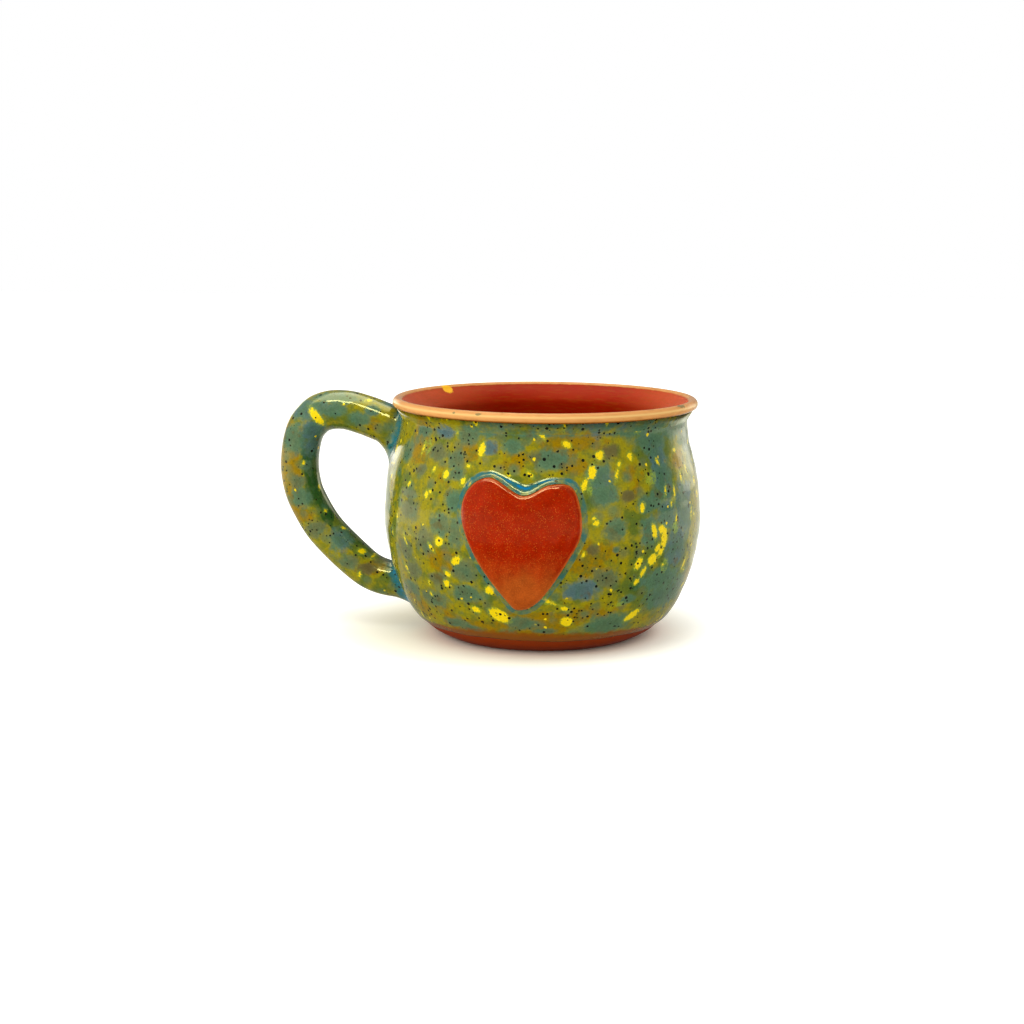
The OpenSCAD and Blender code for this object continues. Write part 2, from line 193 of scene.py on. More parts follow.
# Cards that only the glaze mirrors: name, material, width, depth and place in metres, and the height
# on the axis that the card faces, or None where it lies level
CARDS = (
    ("flag_in_front", "dark_card", 1.3, 0.8, (0.08, -0.75, 0.38), 0.05),
    ("flag_on_the_right", "dark_card", 0.9, 0.9, (0.8, -0.02, 0.3), 0.05),
    ("flag_on_the_floor", "low_card", 1.6, 0.8, (0.16, -0.5, 0.3 * MM), None),
    # Painted shade: these two dark sheets on the floor stand for the shadowed floor under the mug and to its
    # right, as the glaze mirrors it.
    ("dark_sheet_for_shade_under_the_mug", "low_card", 0.56, 0.5, (0.02, -0.17, 0.5 * MM), None),
    ("dark_sheet_for_shade_right_of_the_mug", "low_card", 1.3, 0.7, (0.74, -0.26, 0.4 * MM), None),
    ("white_card_left", "left_card", 0.46, 0.4, (-0.43, 0.55, 0.12), 0.04),
    ("white_card_right", "right_card", 0.66, 0.5, (0.42, 0.52, 0.14), 0.04),
    ("ceiling", "ceiling", 1.1, 0.8, (-0.12, 0.08, 0.74), 0.06),
    ("window", "window", 0.62, 0.12, (-0.1, -0.36, 0.68), 0.06))


def length(name, text, value):
    """A length in the settings."""
    return bpy.props.FloatProperty(name=name, description=text, default=value, precision=5, unit="LENGTH")


def share(name, text, value):
    """A plain number in the settings."""
    return bpy.props.FloatProperty(name=name, description=text, default=value, precision=3)


def colour(name, text, value):
    """A linear colour in the settings."""
    return bpy.props.FloatVectorProperty(
        name=name, description=text, default=value, size=3, min=0, max=1, subtype="COLOR")


class MugCupSizes(bpy.types.PropertyGroup):
    """Sizes of the thrown cup."""
    height: length("Height", "Height of the clay at the rim's crest", CUP_HIGH.z)
    belly_radius: length("Belly radius", "Radius of the clay at the belly", CUP_HIGH.x)
    belly_height: length("Belly height", "Height of the belly's widest line", 39.5 * MM)
    foot_radius: length("Foot radius", "Radius of the foot's edge", 32.15 * MM)
    neck_inset: length("Neck inset", "How far the neck is drawn in from the belly", 5.4 * MM)
    neck_drop: length("Neck drop", "Drop from the crest to the neck", 7 * MM)
    rim_flare: length("Rim flare", "How far the rim stands out from the neck", 3.4 * MM)
    turn_drop: length("Turn's drop", "Drop from the crest to where the neck turns out to the bead", 4.2 * MM)
    turn_out: length("Turn's opening", "How far the neck has opened again by there", 0.5 * MM)
    bead_radius: length("Bead radius", "Radius of the rim's bead", 1.5 * MM)
    wall: length("Wall", "Thickness of the wall", 4 * MM)
    floor: length("Floor", "Thickness of the floor", 5.5 * MM)
    foot_ring: length("Foot ring", "Width of the ring on the table", 6 * MM)
    foot_hollow: length("Foot hollow", "Depth of the hollow under the foot", 1.2 * MM)
    foot_round: length("Foot rounding", "Radius of the foot's softened edge", 0.5 * MM)
    smear: length("Smear", "Thickness of the clay smeared down the wall under the upper joint", 1.0 * MM)
    smear_height: length("Smear height", "Height of the smear's middle", 57 * MM)
    smear_reach: length("Smear reach", "Distance over which the smear fades", 8 * MM)
    rim_shift: length("Rim shift", "How far the rim was thrown off the foot's centre", 0.8 * MM)
    ripple: length("Throwing ripple", "Height of the potter's finger ripples", 0.035 * MM)
    ripple_pitch: length("Ripple pitch", "Height between two ripples", 5.5 * MM)
    rim_tilt: bpy.props.FloatProperty(
        name="Rim tilt", description="Tilt of the rim towards +X", default=math.radians(0.4), subtype="ANGLE")


class MugGripSizes(bpy.types.PropertyGroup):
    """Sizes of the bent grip and its joints."""
    thick: length("Thickness", "Thickness of the grip seen from the side", 12.1 * MM)
    end_thick: length("End thickness", "Thickness at its lower end", 10.5 * MM)
    wide: length("Width", "Width of the grip seen from the end", 2 * GRIP_HIGH.y)
    lower_joint: length("Lower joint", "Height of the lower joint", 15.4 * MM)
    upper_drop: length("Upper joint drop", "Drop from the crest to the upper joint", 11.6 * MM)
    rise: length("Rise", "Rise of the grip's line above its upper joint", 6.2 * MM)
    under_fillet: length("Fillet under", "Radius of the wiped clay under the upper joint", 7 * MM)
    side_fillet: length("Fillet beside", "Radius of the wiped clay beside the joints", 3 * MM)
    top_fillet: length("Fillet above", "Radius of the wiped clay above the upper joint", 1.5 * MM)
    crotch_fillet: length("Fillet in the crotch", "Radius of the wiped clay over the lower joint", 2 * MM)
    lower_fillet: length("Fillet below", "Radius of the wiped clay under the lower joint", 6 * MM)


class MugHeartSizes(bpy.types.PropertyGroup):
    """Sizes of the applied heart and of the glaze pooled round it."""
    wide: length("Width", "Width of the heart", 37.9 * MM)
    high: length("Height", "Height of the heart", HEART_HIGH.z - HEART_LOW.z)
    middle: length("Middle", "Height of the heart's middle", (HEART_HIGH.z + HEART_LOW.z) / 2)
    thick: length("Thickness", "Thickness of the slab", 2.1 * MM)
    shoulder: length("Shoulder", "Radius of the slab's rounded edge", 2.0 * MM)
    crown: length("Crown", "How far the slab's middle is domed", 0.25 * MM)
    notch: length("Notch", "Place of the heart's notch across", 0.2 * MM)
    notch_fill: length("Notch fill", "How much wider the pooled glaze is in the notch", 2.0 * MM)
    notch_reach: length("Notch reach", "Distance over which that width fades", 6 * MM)
    pool_wide_top: length("Pool width above", "Width of the pooled glaze above", 1.9 * MM)
    pool_wide_low: length("Pool width below", "Width of the pooled glaze beside and below", 1.9 * MM)
    pool_high_top: length("Pool height above", "Height of the pooled glaze above", 1.35 * MM)
    pool_high_low: length("Pool height below", "Height of the pooled glaze beside and below", 0.8 * MM)


class MugGlazeSizes(bpy.types.PropertyGroup):
    """Thicknesses of the slip and the glazes."""
    slip: length("Slip", "Thickness of the slip", 0.3 * MM)
    outside: length("Outside", "Thickness of the mottled glaze", GLAZE_HIGH.x - CUP_HIGH.x)
    lining: length("Lining", "Thickness of the lining's glaze", LINING_HIGH.z - CUP_HIGH.z)
    heart: length("Heart", "Thickness of the heart's glaze", 0.25 * MM)
    edge: length("Glaze line", "Height of the glaze's lower edge", GLAZE_LOW.z)
    edge_wave: length("Glaze line's wave", "How far that edge wanders", 0.9 * MM)
    edge_hang: length("Hang of the edge", "How much lower that edge is at the sides than in front", 1.4 * MM)
    unevenness: length("Unevenness", "How far the glaze's thickness wanders", 0.09 * MM)


class MugColours(bpy.types.PropertyGroup):
    """Colours of the clays and the glazes."""
    amber: colour("Amber", "Warm ground of the mottled glaze", (0.300, 0.180, 0.001))
    ochre: colour("Ochre", "Light ground of the mottled glaze", (0.305, 0.255, 0.005))
    olive: colour("Olive", "Green ground of the mottled glaze", (0.120, 0.155, 0.016))
    # Partly painted shade: low warmth also gives this green to the grip's inner side, standing for its shade
    # as well as pooled glaze.
    green: colour("Green", "Deep green ground of the mottled glaze", (0.020, 0.078, 0.014))
    veil: colour("Veil", "Fine grey-green veil over the ground", (0.092, 0.138, 0.024))
    slate: colour("Slate", "Grey blots", (0.132, 0.148, 0.064))
    teal: colour("Teal", "Green-blue blots", (0.078, 0.172, 0.098))
    blue: colour("Blue", "Blue blots", (0.070, 0.145, 0.170))
    pool: colour("Pool", "Glaze that pooled a little", (0.010, 0.130, 0.150))
    deep_pool: colour("Deep pool", "Glaze that pooled thick", (0.001, 0.170, 0.400))
    # Partly the pool's own thick glaze, partly a painted dark reflection: the navy line below the pool's
    # highlight round the heart.
    pool_line_and_dark_reflection: colour("Pool line", "Glaze where it pooled thickest", (0.004, 0.020, 0.055))
    flake: colour("Flake", "Yellow flakes", (0.84, 0.62, 0.001))
    brown: colour("Brown", "Brown patches in the blots", (0.115, 0.062, 0.012))
    vein: colour("Vein", "Green-yellow veins", (0.28, 0.38, 0.035))
    speck: colour("Speck", "Dark specks", (0.006, 0.008, 0.006))
    thin: colour("Thin glaze", "Glaze thinned out over the clay", (0.250, 0.070, 0.0004))
    clay: colour("Clay", "Bare fired clay", (0.290, 0.034, 0.0010))
    clay_dark: colour("Dark clay", "Clay in its pores and grooves", (0.110, 0.014, 0.001))
    slip: colour("Slip", "Fired slip", (0.42, 0.20, 0.10))
    heart: colour("Heart", "Glaze on the heart", (0.315, 0.011, 0))
    # Painted reflection: the lighter tone towards the heart's tip stands for the white floor mirrored there.
    heart_low_reflection: colour("Low heart", "The same towards the tip, where it ran thin", (0.400, 0.078, 0.009))
    heart_edge: colour("Heart's edge", "The heart's glaze where it breaks", (0.56, 0.110, 0.012))
    lining: colour("Lining", "Glaze inside the cup", (0.290, 0.0085, 0.0002))
    # Painted reflection: the lighter tone left and right inside the cup stands for the white surround
    # mirrored there.
    lining_side_reflection: colour("Lining's sides", "The same where it ran thin, left and right", (0.50, 0.070, 0.018))
    inner_fleck: colour("Inner fleck", "Yellow fleck on the lining", (0.95, 0.50, 0.02))
    rim: colour("Rim", "The lining's glaze where it breaks over the rim", (0.66, 0.305, 0.095))
    # Painted highlight: a pale line along the front of the rim's bead.
    rim_highlight: colour("Rim's crest", "Where it breaks palest, on the bead's outer line", (0.79, 0.51, 0.185))
    rim_line: colour("Rim line", "Line where the two glazes meet", (0.26, 0.070, 0.002))


class MugStudio(bpy.types.PropertyGroup):
    """Camera, lights and floor."""
    turn: share("Turn", "Camera's turn round the mug, in degrees", 8.3)
    rise: share("Rise", "Camera's height above the horizon, in degrees", 9.637)
    distance: length("Distance", "Camera's distance from its target", 638.653 * MM)
    aside: length("Aside", "How far the target lies to the mug's left", 10.184 * MM)
    target_height: length("Target height", "Height of the target", 40.101 * MM)
    lens: share("Lens", "Focal length in millimetres on a 36 mm sensor", 66.9)
    picture: share("Picture", "Width of the picture in pixels", 1024)
    surround: share("Surround", "Strength of the white surround", 0.93)
    mirrored: share("Mirrored surround", "Strength of the surround that the glaze mirrors", 0.32)
    flag: share("Flag", "Strength of the dark cards in front of the mug", 0.03)
    window: share("Window", "Strength of the window that the glaze mirrors from above", 22)
    ceiling: share("Ceiling", "Strength of the soft ceiling over the mug that the glaze mirrors", 5.5)
    left_card: share("Left card", "Strength of the white card behind the mug on its left", 3.2)
    right_card: share("Right card", "Strength of the white card behind the mug on its right", 3.0)
    overhead: share("Overhead lamp", "Power of the overhead lamp, in watts", 1.5)
    left: share("Left lamp", "Power of the soft lamp on the left, in watts", 4.8)
    # Painted shadow: the floor glows only this little, and warmly, round the foot, so that it stays darker
    # and warmer there.
    painted_shadow_glow: colour("Near glow", "Light added by the foot as the camera sees it", (0.15, 0.11, 0.06))
    far_glow: colour("Far glow", "Light added to the open floor as the camera sees it", (0.60, 0.60, 0.62))
    glow_from: length("Glow from", "Distance from the axis where the added light begins to grow", 38 * MM)
    glow_to: length("Glow to", "Distance from the axis where it has grown", 84 * MM)
    # Painted contact shadow: no glow is added under the foot, and it grows to the glow round the foot between
    # these two distances; glow_aside sets this painted shadow off the axis.
    contact_from: length("Contact from", "Distance from the axis up to which no light is added", 32 * MM)
    contact_to: length("Contact to", "Distance from the axis where the near glow is whole", 41 * MM)
    glow_aside: length("Glow aside", "How far the middle of the added light lies from the axis", -13 * MM)


def settings():
    """The scene's own settings of the mug."""
    return bpy.context.scene


def smoothstep(value, low, high):
    """0 below low, 1 above high, and a smooth rise between."""
    t = np.clip((value - low) / (high - low), 0, 1)
    return t * t * (3 - 2 * t)


def unit(vectors):
    """Vectors of length one."""
    return vectors / np.maximum(np.linalg.norm(vectors, axis=-1, keepdims=True), 1e-12)


def curve_through(points, steps, closed=False):
    """A Catmull-Rom curve: between b and c, with neighbours a and d, it is the cubic
    b + (c-a)t/2 + (2a-5b+4c-d)t^2/2 + (3b-a-3c+d)t^3/2 for t from 0 to 1."""
    p = np.asarray(points, float)
    if closed:
        a, b, c, d = np.roll(p, 1, 0), p, np.roll(p, -1, 0), np.roll(p, -2, 0)
    else:
        p = np.vstack([2 * p[0] - p[1], p, 2 * p[-1] - p[-2]])
        a, b, c, d = p[:-3], p[1:-2], p[2:-1], p[3:]
    a, b, c, d = (x[:, None, :] for x in (a, b, c, d))
    t = (np.arange(steps) / steps)[None, :, None]
    curve = (2 * b + (c - a) * t + (2 * a - 5 * b + 4 * c - d) * t**2 + (3 * b - a - 3 * c + d) * t**3) / 2
    curve = curve.reshape(-1, p.shape[1])
    return curve if closed else np.vstack([curve, p[-2:-1]])


def run_of(line):
    """Length along an open line up to each of its points."""
    return np.concatenate([[0], np.cumsum(np.linalg.norm(np.diff(line, axis=0), axis=1))])


def along(line, places):
    """Points of an open line at lengths along it, which may be an array of any shape."""
    run = run_of(line)
    return np.stack([np.interp(places, run, line[:, k]) for k in range(line.shape[1])], -1)


def line_normals(line):
    """Directions square to an open line in its plane, to its right as it runs."""
    d = unit(np.gradient(line, axis=0))
    return np.stack([d[:, 1], -d[:, 0]], -1)


def swell(points, size, seed):
    """Soft unevenness between -1 and 1: the mean of six sine waves that run in different directions,
    each about size long."""
    draw = np.random.default_rng(seed)
    ways = unit(draw.normal(size=(6, 3)))
    turns = draw.uniform(0, 2 * np.pi, 6)
    lengths = size * draw.uniform(0.6, 1.5, 6)
    return np.sin(points @ ways.T * 2 * np.pi / lengths + turns).mean(-1)


def near_wall(x, cup):
    """1 at the cup and 0 from a little way out along the grip."""
    return smoothstep(x, -cup.belly_radius - 6 * MM, -cup.belly_radius - 1 * MM)


class Wall:
    """The cup's section and its outer surface, which every other piece is fitted to."""

    def __init__(self, cup):
        belly = np.array([cup.belly_radius, cup.belly_height])
        foot = np.array([cup.foot_radius, 0])
        rise = np.array([-cup.neck_inset, cup.height - cup.neck_drop - cup.belly_height])
        neck_r = cup.belly_radius - cup.neck_inset
        self.cup = cup
        self.bead_centre = np.array([neck_r + cup.rim_flare - cup.bead_radius, cup.height - cup.bead_radius])
        shoulder = belly + SHOULDER_SHARES * rise
        bowl = foot + BOWL_SHARES * (belly - foot)
        turn = np.array([neck_r + cup.turn_out, cup.height - cup.turn_drop])
        self.outside = curve_through(np.vstack([bowl, shoulder, turn, self.bead([BEAD_FROM])]), FINE_STEPS)
        self.over = self.bead(np.linspace(BEAD_FROM, BEAD_TO, 60)[1:])
        step_in = np.array([cup.wall, 0])
        floor_edge = np.array([cup.foot_radius - cup.wall, cup.floor])
        inner_bowl = floor_edge + BOWL_SHARES * (belly - step_in - floor_edge)
        top = self.bead([BEAD_TO])
        throat = top + THROAT_SHARES * (shoulder[-1] - step_in - top)
        inner = np.vstack([top, throat, (shoulder - step_in)[::-1], inner_bowl[::-1]])
        self.inside = curve_through(inner, FINE_STEPS)[1:]
        self.glazed = np.vstack([self.outside, self.bead(np.linspace(BEAD_FROM, MEETING - 2, 12)[1:])])
        self.floor_line = np.array([[cup.foot_radius - cup.wall - cup.foot_ring, cup.floor], [0, cup.floor]])
        self.table = np.vstack([self.outside, self.bead(np.linspace(BEAD_FROM, 0, 20)[1:])])
        self.table_normals = line_normals(self.table)

    def bead(self, angles):
        """Points (radius, height) on the rim's bead at angles in degrees."""
        a = np.radians(np.asarray(angles, float))
        return self.bead_centre + self.cup.bead_radius * np.stack([np.cos(a), np.sin(a)], -1)

    def normals(self, points):
        """Directions away from the outer surface at points near it."""
        r = np.maximum(np.hypot(points[..., 0], points[..., 1]), 1e-9)
        out = np.interp(points[..., 2], self.table[:, 1], self.table_normals[:, 0])
        up = np.interp(points[..., 2], self.table[:, 1], self.table_normals[:, 1])
        return unit(np.stack([out * points[..., 0] / r, out * points[..., 1] / r, up], -1))

    def distance(self, points):
        """Distance of points from the outer surface: the radial gap times the normal's radial part."""
        r = np.hypot(points[..., 0], points[..., 1])
        surface = np.interp(points[..., 2], self.table[:, 1], self.table[:, 0])
        out = np.interp(points[..., 2], self.table[:, 1], self.table_normals[:, 0])
        return (r - surface) * out

    def laid(self, points, height):
        """Points moved square to the outer surface until they stand height off it."""
        for _ in range(4):
            points = points + (height - self.distance(points))[..., None] * self.normals(points)
        return points

    def thrown(self, points):
        """A true cup bent to the thrown one: the rim is shifted along +X and tilted by amounts that
        grow with height, a spiral of finger ripples stands off the wall, and clay is smeared down the
        wall under the grip's upper joint. The grip's outer part keeps its place across."""
        cup = self.cup
        x, y, z = points[..., 0], points[..., 1], points[..., 2]
        lift = smoothstep(z, 0.72 * cup.height, cup.height)
        away = ((z - cup.smear_height) / cup.smear_reach) ** 2 + (y / cup.smear_reach) ** 2
        smear = cup.smear * np.exp(-away)
        smear = smear * smoothstep(-x, 0.5 * cup.belly_radius, 0.9 * cup.belly_radius) * near_wall(x, cup)
        near = smoothstep(x, -cup.belly_radius - 24 * MM, -cup.belly_radius)
        angle = np.arctan2(y, x)
        ripple = cup.ripple * np.sin(2 * np.pi * z / cup.ripple_pitch + angle)
        ripple = ripple * smoothstep(z, 4 * MM, 16 * MM)
        ripple = ripple * smoothstep(x, -cup.belly_radius - 6 * MM, -cup.belly_radius + 6 * MM)
        ripple = ripple * (1 - smoothstep(-y, 0.72 * cup.belly_radius, 0.88 * cup.belly_radius))
        moved = np.array(points)
        moved[..., 0] = x + lift * near * cup.rim_shift + ripple * np.cos(angle) - smear
        moved[..., 1] = y + ripple * np.sin(angle)
        moved[..., 2] = z - lift * math.tan(cup.rim_tilt) * cup.belly_radius * np.tanh(x / cup.belly_radius)
        return moved


class PhotoView:
    """The camera of the photograph: its place and axes, and where it sees points of the mug."""

    def __init__(self, studio):
        turn, rise = math.radians(studio.turn), math.radians(studio.rise)
        self.right = np.array([math.cos(turn), math.sin(turn), 0])
        self.back = np.array([
            math.sin(turn) * math.cos(rise), -math.cos(turn) * math.cos(rise), math.sin(rise)])
        self.up = np.cross(self.back, self.right)
        self.target = -studio.aside * self.right + np.array([0, 0, studio.target_height])
        self.place = self.target + studio.distance * self.back
        self.pixels = studio.lens / SENSOR_WIDTH * studio.picture
        self.middle = studio.picture / 2

    def seen(self, points):
        """Pixel across and down of each point."""
        away = points - self.place
        depth = -(away @ self.back)
        across = self.middle + self.pixels * (away @ self.right) / depth
        return np.stack([across, self.middle - self.pixels * (away @ self.up) / depth], -1)

    def facing(self, points, normals):
        """How squarely each place faces the camera: 1 is square to it, and below 0 it faces away."""
        return (unit(self.place - points) * normals).sum(-1)


def grid_normals(rows):
    """Outward directions of a grid of points, from its differences along rows and columns."""
    down = np.gradient(rows, axis=0)
    around = (np.roll(rows, -1, 1) - np.roll(rows, 1, 1)) / 2
    return unit(np.cross(around, down))


def spot_field(points, normals, spots):
    """The highest value among spots at each point. A spot is an ellipse on the surface: 1 at its middle,
    0 on its edge and below 0 outside, by its own radii. Also gives which spot is highest, and the
    distance from that spot's edge, below 0 inside it."""
    best = np.full(points.shape[:-1], -FAR)
    which = np.zeros(points.shape[:-1], int)
    edge = np.full(points.shape[:-1], FAR * MM)
    for k, (place, normal, half_long, half_wide, lean) in enumerate(spots):
        level = unit(np.cross([0, 0, 1], normal))
        steep = np.cross(normal, level)
        long_way = math.cos(lean) * level + math.sin(lean) * steep
        wide_way = -math.sin(lean) * level + math.cos(lean) * steep
        gap = points - place
        depth = np.abs(gap @ normal)
        r = np.hypot((gap @ long_way) / half_long, (gap @ wide_way) / half_wide)
        r = np.where((depth < SPOT_DEPTH) & ((normals @ normal) > 0), r, FAR)
        value = 1 - r
        higher = value > best
        best = np.where(higher, value, best)
        which = np.where(higher, k, which)
        edge = np.minimum(edge, np.where(r < FAR, (r - 1) * half_wide, FAR * MM))
    return best, which, edge


def seen_spots(view, points, normals, table, widened=(1, 0)):
    """Spots of a table that is given in the photograph's pixels, each set on the nearest surface point
    that faces the camera, with the last value of its row. widened holds a 1 for each of a spot's two
    sizes that grows where the surface turns away from the camera."""
    face = view.facing(points, normals).ravel()
    flat, flat_normals = points.reshape(-1, 3), normals.reshape(-1, 3)
    pixels = view.seen(flat)
    pixels[face < EDGE_ON] = NEVER_SEEN
    found = []
    for across, down, size, other_size, last in table:
        gap = np.hypot(pixels[:, 0] - across, pixels[:, 1] - down)
        k = gap.argmin()
        if gap[k] < NEAREST_PIXELS:
            square = max(face[k], LEAST_FACING)
            halves = (size / 2 * MM / square ** widened[0], other_size / 2 * MM / square ** widened[1])
            found.append(((flat[k], flat_normals[k], *halves, 0.0), last))
    return found


def hidden_places(view, points, normals, count, apart, seed, limit=EDGE_ON):
    """Surface points away from the camera, drawn at random by area and kept apart."""
    draw = np.random.default_rng(seed)
    flat, flat_normals = points.reshape(-1, 3), normals.reshape(-1, 3)
    down = np.linalg.norm(np.gradient(points, axis=0), axis=-1)
    around = np.linalg.norm(np.roll(points, -1, 1) - points, axis=-1)
    weight = (down * around).ravel() * (view.facing(points, normals).ravel() < limit)
    if weight.sum() <= 0:
        return []
    picks = draw.choice(len(flat), size=count * 4, p=weight / weight.sum())
    kept = []
    for k in picks:
        if all(np.linalg.norm(flat[k] - flat[j]) > apart for j in kept):
            kept.append(k)
        if len(kept) == count:
            break
    return [(flat[k], flat_normals[k]) for k in kept]


def glaze_marks(points, normals, view, amount=1.0):
    """The mottled glaze's pattern on a grid of its surface: the blots' height and hue, the ground's
    warmth, the distance from the nearest flake's edge in millimetres, and the veins' height. amount is
    the share of the hidden marks that lie on this surface."""
    draw = np.random.default_rng(HIDDEN_SEED)
    surface = (view, points, normals)
    blots = seen_spots(*surface, SEEN_BLOTS)
    for place, normal in hidden_places(*surface, int(HIDDEN_BLOTS * amount), 5 * MM, HIDDEN_SEED):
        wide, tall, lean = draw.uniform(2.2, 4.8), draw.uniform(0.6, 1.1), draw.uniform(-0.5, 0.5)
        blots.append(((place, normal, wide * MM, wide * tall * MM, lean), draw.uniform(0, 1) ** 1.3))
    height, which, _ = spot_field(points, normals, [spot for spot, _ in blots])
    hue = np.array([*(hue for _, hue in blots), 0.0])[which]
    warmth = np.zeros(points.shape[:-1])
    grounds = seen_spots(*surface, SEEN_GROUNDS)
    for place, normal in hidden_places(*surface, int(HIDDEN_GROUNDS * amount), 9 * MM, HIDDEN_SEED + 1):
        wide, tall = draw.uniform(4, 9), draw.uniform(0.6, 1.3)
        grounds.append(((place, normal, wide * MM, wide * tall * MM, 0.0), draw.uniform(-1, 1)))
    for spot, warm in grounds:
        warmth += warm * smoothstep(spot_field(points, normals, [spot])[0], -0.35, 0.6)
    flakes = [(*spot[:4], math.radians(lean)) for spot, lean in seen_spots(*surface, SEEN_FLAKES, (0, 0))]
    for place, normal in hidden_places(
            *surface, int(HIDDEN_FLAKES * amount), 4 * MM, HIDDEN_SEED + 2, 0.3):
        size = draw.uniform(0.5, 1) ** 2 * draw.uniform(0.8, 2.4)
        flakes.append((place, normal, size * MM, size * draw.uniform(0.4, 0.9) * MM, draw.uniform(-1.5, 1.5)))
    flake = spot_field(points, normals, flakes)[2]
    vein = spot_field(points, normals, [spot for spot, _ in seen_spots(*surface, SEEN_VEINS)])[0]
    return {"blot": height, "hue": hue, "warmth": warmth, "flake": flake / MM, "vein": vein}


def bake_places(i, j, di, dj, counts, layout):
    """Places on the baked map of the corners of quads. The shown rows are cut into bands and strips,
    which are laid out as equal cells, and the hidden rows share a narrow strip at the top."""
    rows, columns = counts
    shown, strips, bands, across = layout
    margin, top = 0.012, 0.955
    band = np.minimum(i * bands // shown, bands - 1)
    strip = j * strips // columns
    cell = band * strips + strip
    first_row = -(-band * shown // bands)
    rows_there = -(-(band + 1) * shown // bands) - first_row
    first_column = -(-strip * columns // strips)
    columns_there = -(-(strip + 1) * columns // strips) - first_column
    down = -(-bands * strips // across)
    u = (cell % across + margin + (1 - 2 * margin) * (j + dj - first_column) / columns_there) / across
    v = top * (cell // across + margin + (1 - 2 * margin) * (i + di - first_row) / rows_there) / down
    hidden = i >= shown
    u = np.where(hidden, 0.01 + 0.98 * (j + dj) / columns, u)
    v = np.where(hidden, top + 0.01 + (0.98 - top) * (i + di - shown) / max(rows - shown, 1), v)
    return np.stack([u, v], -1)


def solid(name, rows, layout, slot, node=None, loop=False, values=None):
    """A closed piece from a grid of points whose columns run round. Its rows either close on
    themselves too, or end in a pole, a row whose points all lie in one place. layout is how many rows
    of faces show, and the bake map's strips, bands and cells across. slot is the piece's material,
    node the CAD node that it stands for, and values are numbers for each point of the grid."""
    count, columns = rows.shape[:2]
    keep = np.ones((count, columns), bool)
    if not loop:
        keep[[0, -1], 1:] = False
    places = rows[keep]
    number = np.cumsum(keep).reshape(keep.shape) - 1
    counts = (count if loop else count - 1, columns)
    i, j = (index.ravel() for index in np.indices(counts))
    ways = ((0, 0), (0, 1), (1, 1), (1, 0))
    corners = np.stack([number[(i + di) % count, (j + dj) % columns] for di, dj in ways], -1)
    spots = np.stack([bake_places(i, j, di, dj, counts, layout) for di, dj in ways], 1)
    a, b, c, d = (places[corners[:, k]] for k in range(4))
    if ((np.cross(b, c) * a).sum() + (np.cross(c, d) * a).sum()) < 0:
        corners, spots = corners[:, ::-1], spots[:, ::-1]
    single = corners != np.roll(corners, 1, 1)
    mesh = bpy.data.meshes.new(name)
    mesh.vertices.add(len(places))
    mesh.vertices.foreach_set("co", places.astype(np.float32).ravel())
    mesh.loops.add(int(single.sum()))
    mesh.loops.foreach_set("vertex_index", corners[single].astype(np.int32))
    mesh.polygons.add(len(corners))
    starts = np.cumsum(single.sum(1)) - single.sum(1)
    mesh.polygons.foreach_set("loop_start", starts.astype(np.int32))
    mesh.update(calc_edges=True)
    uv = mesh.uv_layers.new(name=BAKE_MAP)
    uv.data.foreach_set("uv", spots[single].astype(np.float32).ravel())
    for key, grid in (values or {}).items():
        mesh.attributes.new(key, "FLOAT", "POINT").data.foreach_set("value", np.asarray(grid, float)[keep])
    mesh.polygons.foreach_set("use_smooth", np.ones(len(corners), bool))
    mesh.materials.append(material_of(slot))
    mesh.update()
    piece = bpy.data.objects.new(name, mesh)
    bpy.context.scene.collection.objects.link(piece)
    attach(piece, "root")
    if node:
        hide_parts(node)


def with_poles(rows):
    """Rows whose first and last are each drawn together into one point."""
    rows[0], rows[-1] = rows[0].mean(0), rows[-1].mean(0)
    return rows


def turned(line, angles):
    """A line of (radius, height) carried round the Z axis through angles: rows along the line, columns
    round it. The line may differ from column to column."""
    line = line if line.ndim == 3 else np.repeat(line[:, None], len(angles), 1)
    return np.stack([line[..., 0] * np.cos(angles), line[..., 0] * np.sin(angles), line[..., 1]], -1)


def round_angles(columns, focus=0.0):
    """Angles of the columns round the cup, set closer about the front (-Y) the larger focus is."""
    dense = np.linspace(0, 2 * np.pi, 2881)
    gap = np.abs((dense - 1.5 * np.pi + np.pi) % (2 * np.pi) - np.pi)
    weight = 1 + focus * (1 - smoothstep(gap, 0.9, 1.7))
    total = np.concatenate([[0], np.cumsum((weight[1:] + weight[:-1]) / 2)])
    return np.interp(np.arange(columns) / columns * total[-1], total, dense)


class Wire:
    """A node's output. Plus, minus, times, abs and a number divided by it add Math nodes to it."""

    def __init__(self, tree, socket):
        self.tree, self.socket = tree, socket

    def __add__(self, other):
        return maths("ADD", self, other)

    def __radd__(self, other):
        return maths("ADD", other, self)

    def __sub__(self, other):
        return maths("SUBTRACT", self, other)

    def __rsub__(self, other):
        return maths("SUBTRACT", other, self)

    def __mul__(self, other):
        return maths("MULTIPLY", self, other)

    def __rtruediv__(self, other):
        return maths("DIVIDE", other, self)

    def __abs__(self):
        return maths("ABSOLUTE", self)


def link_in(socket, value):
    """Links a wire to a socket, or sets the socket's own value."""
    if isinstance(value, Wire):
        value.tree.links.new(value.socket, socket)
    elif hasattr(value, "__len__") and len(value) == 3 and len(socket.default_value) == 4:
        socket.default_value = (*value, 1)
    else:
        socket.default_value = value


def add(tree, kind, *inputs, out=0, **options):
    """Adds a node and gives the chosen output. inputs are values for its sockets in order, or pairs of
    a socket's name and its value."""
    node = tree.nodes.new("ShaderNode" + kind)
    for key, value in options.items():
        setattr(node, key, value)
    for k, item in enumerate(inputs):
        where, value = item if isinstance(item, tuple) and isinstance(item[0], str) else (k, item)
        link_in(node.inputs[where], value)
    return Wire(tree, node.outputs[out])


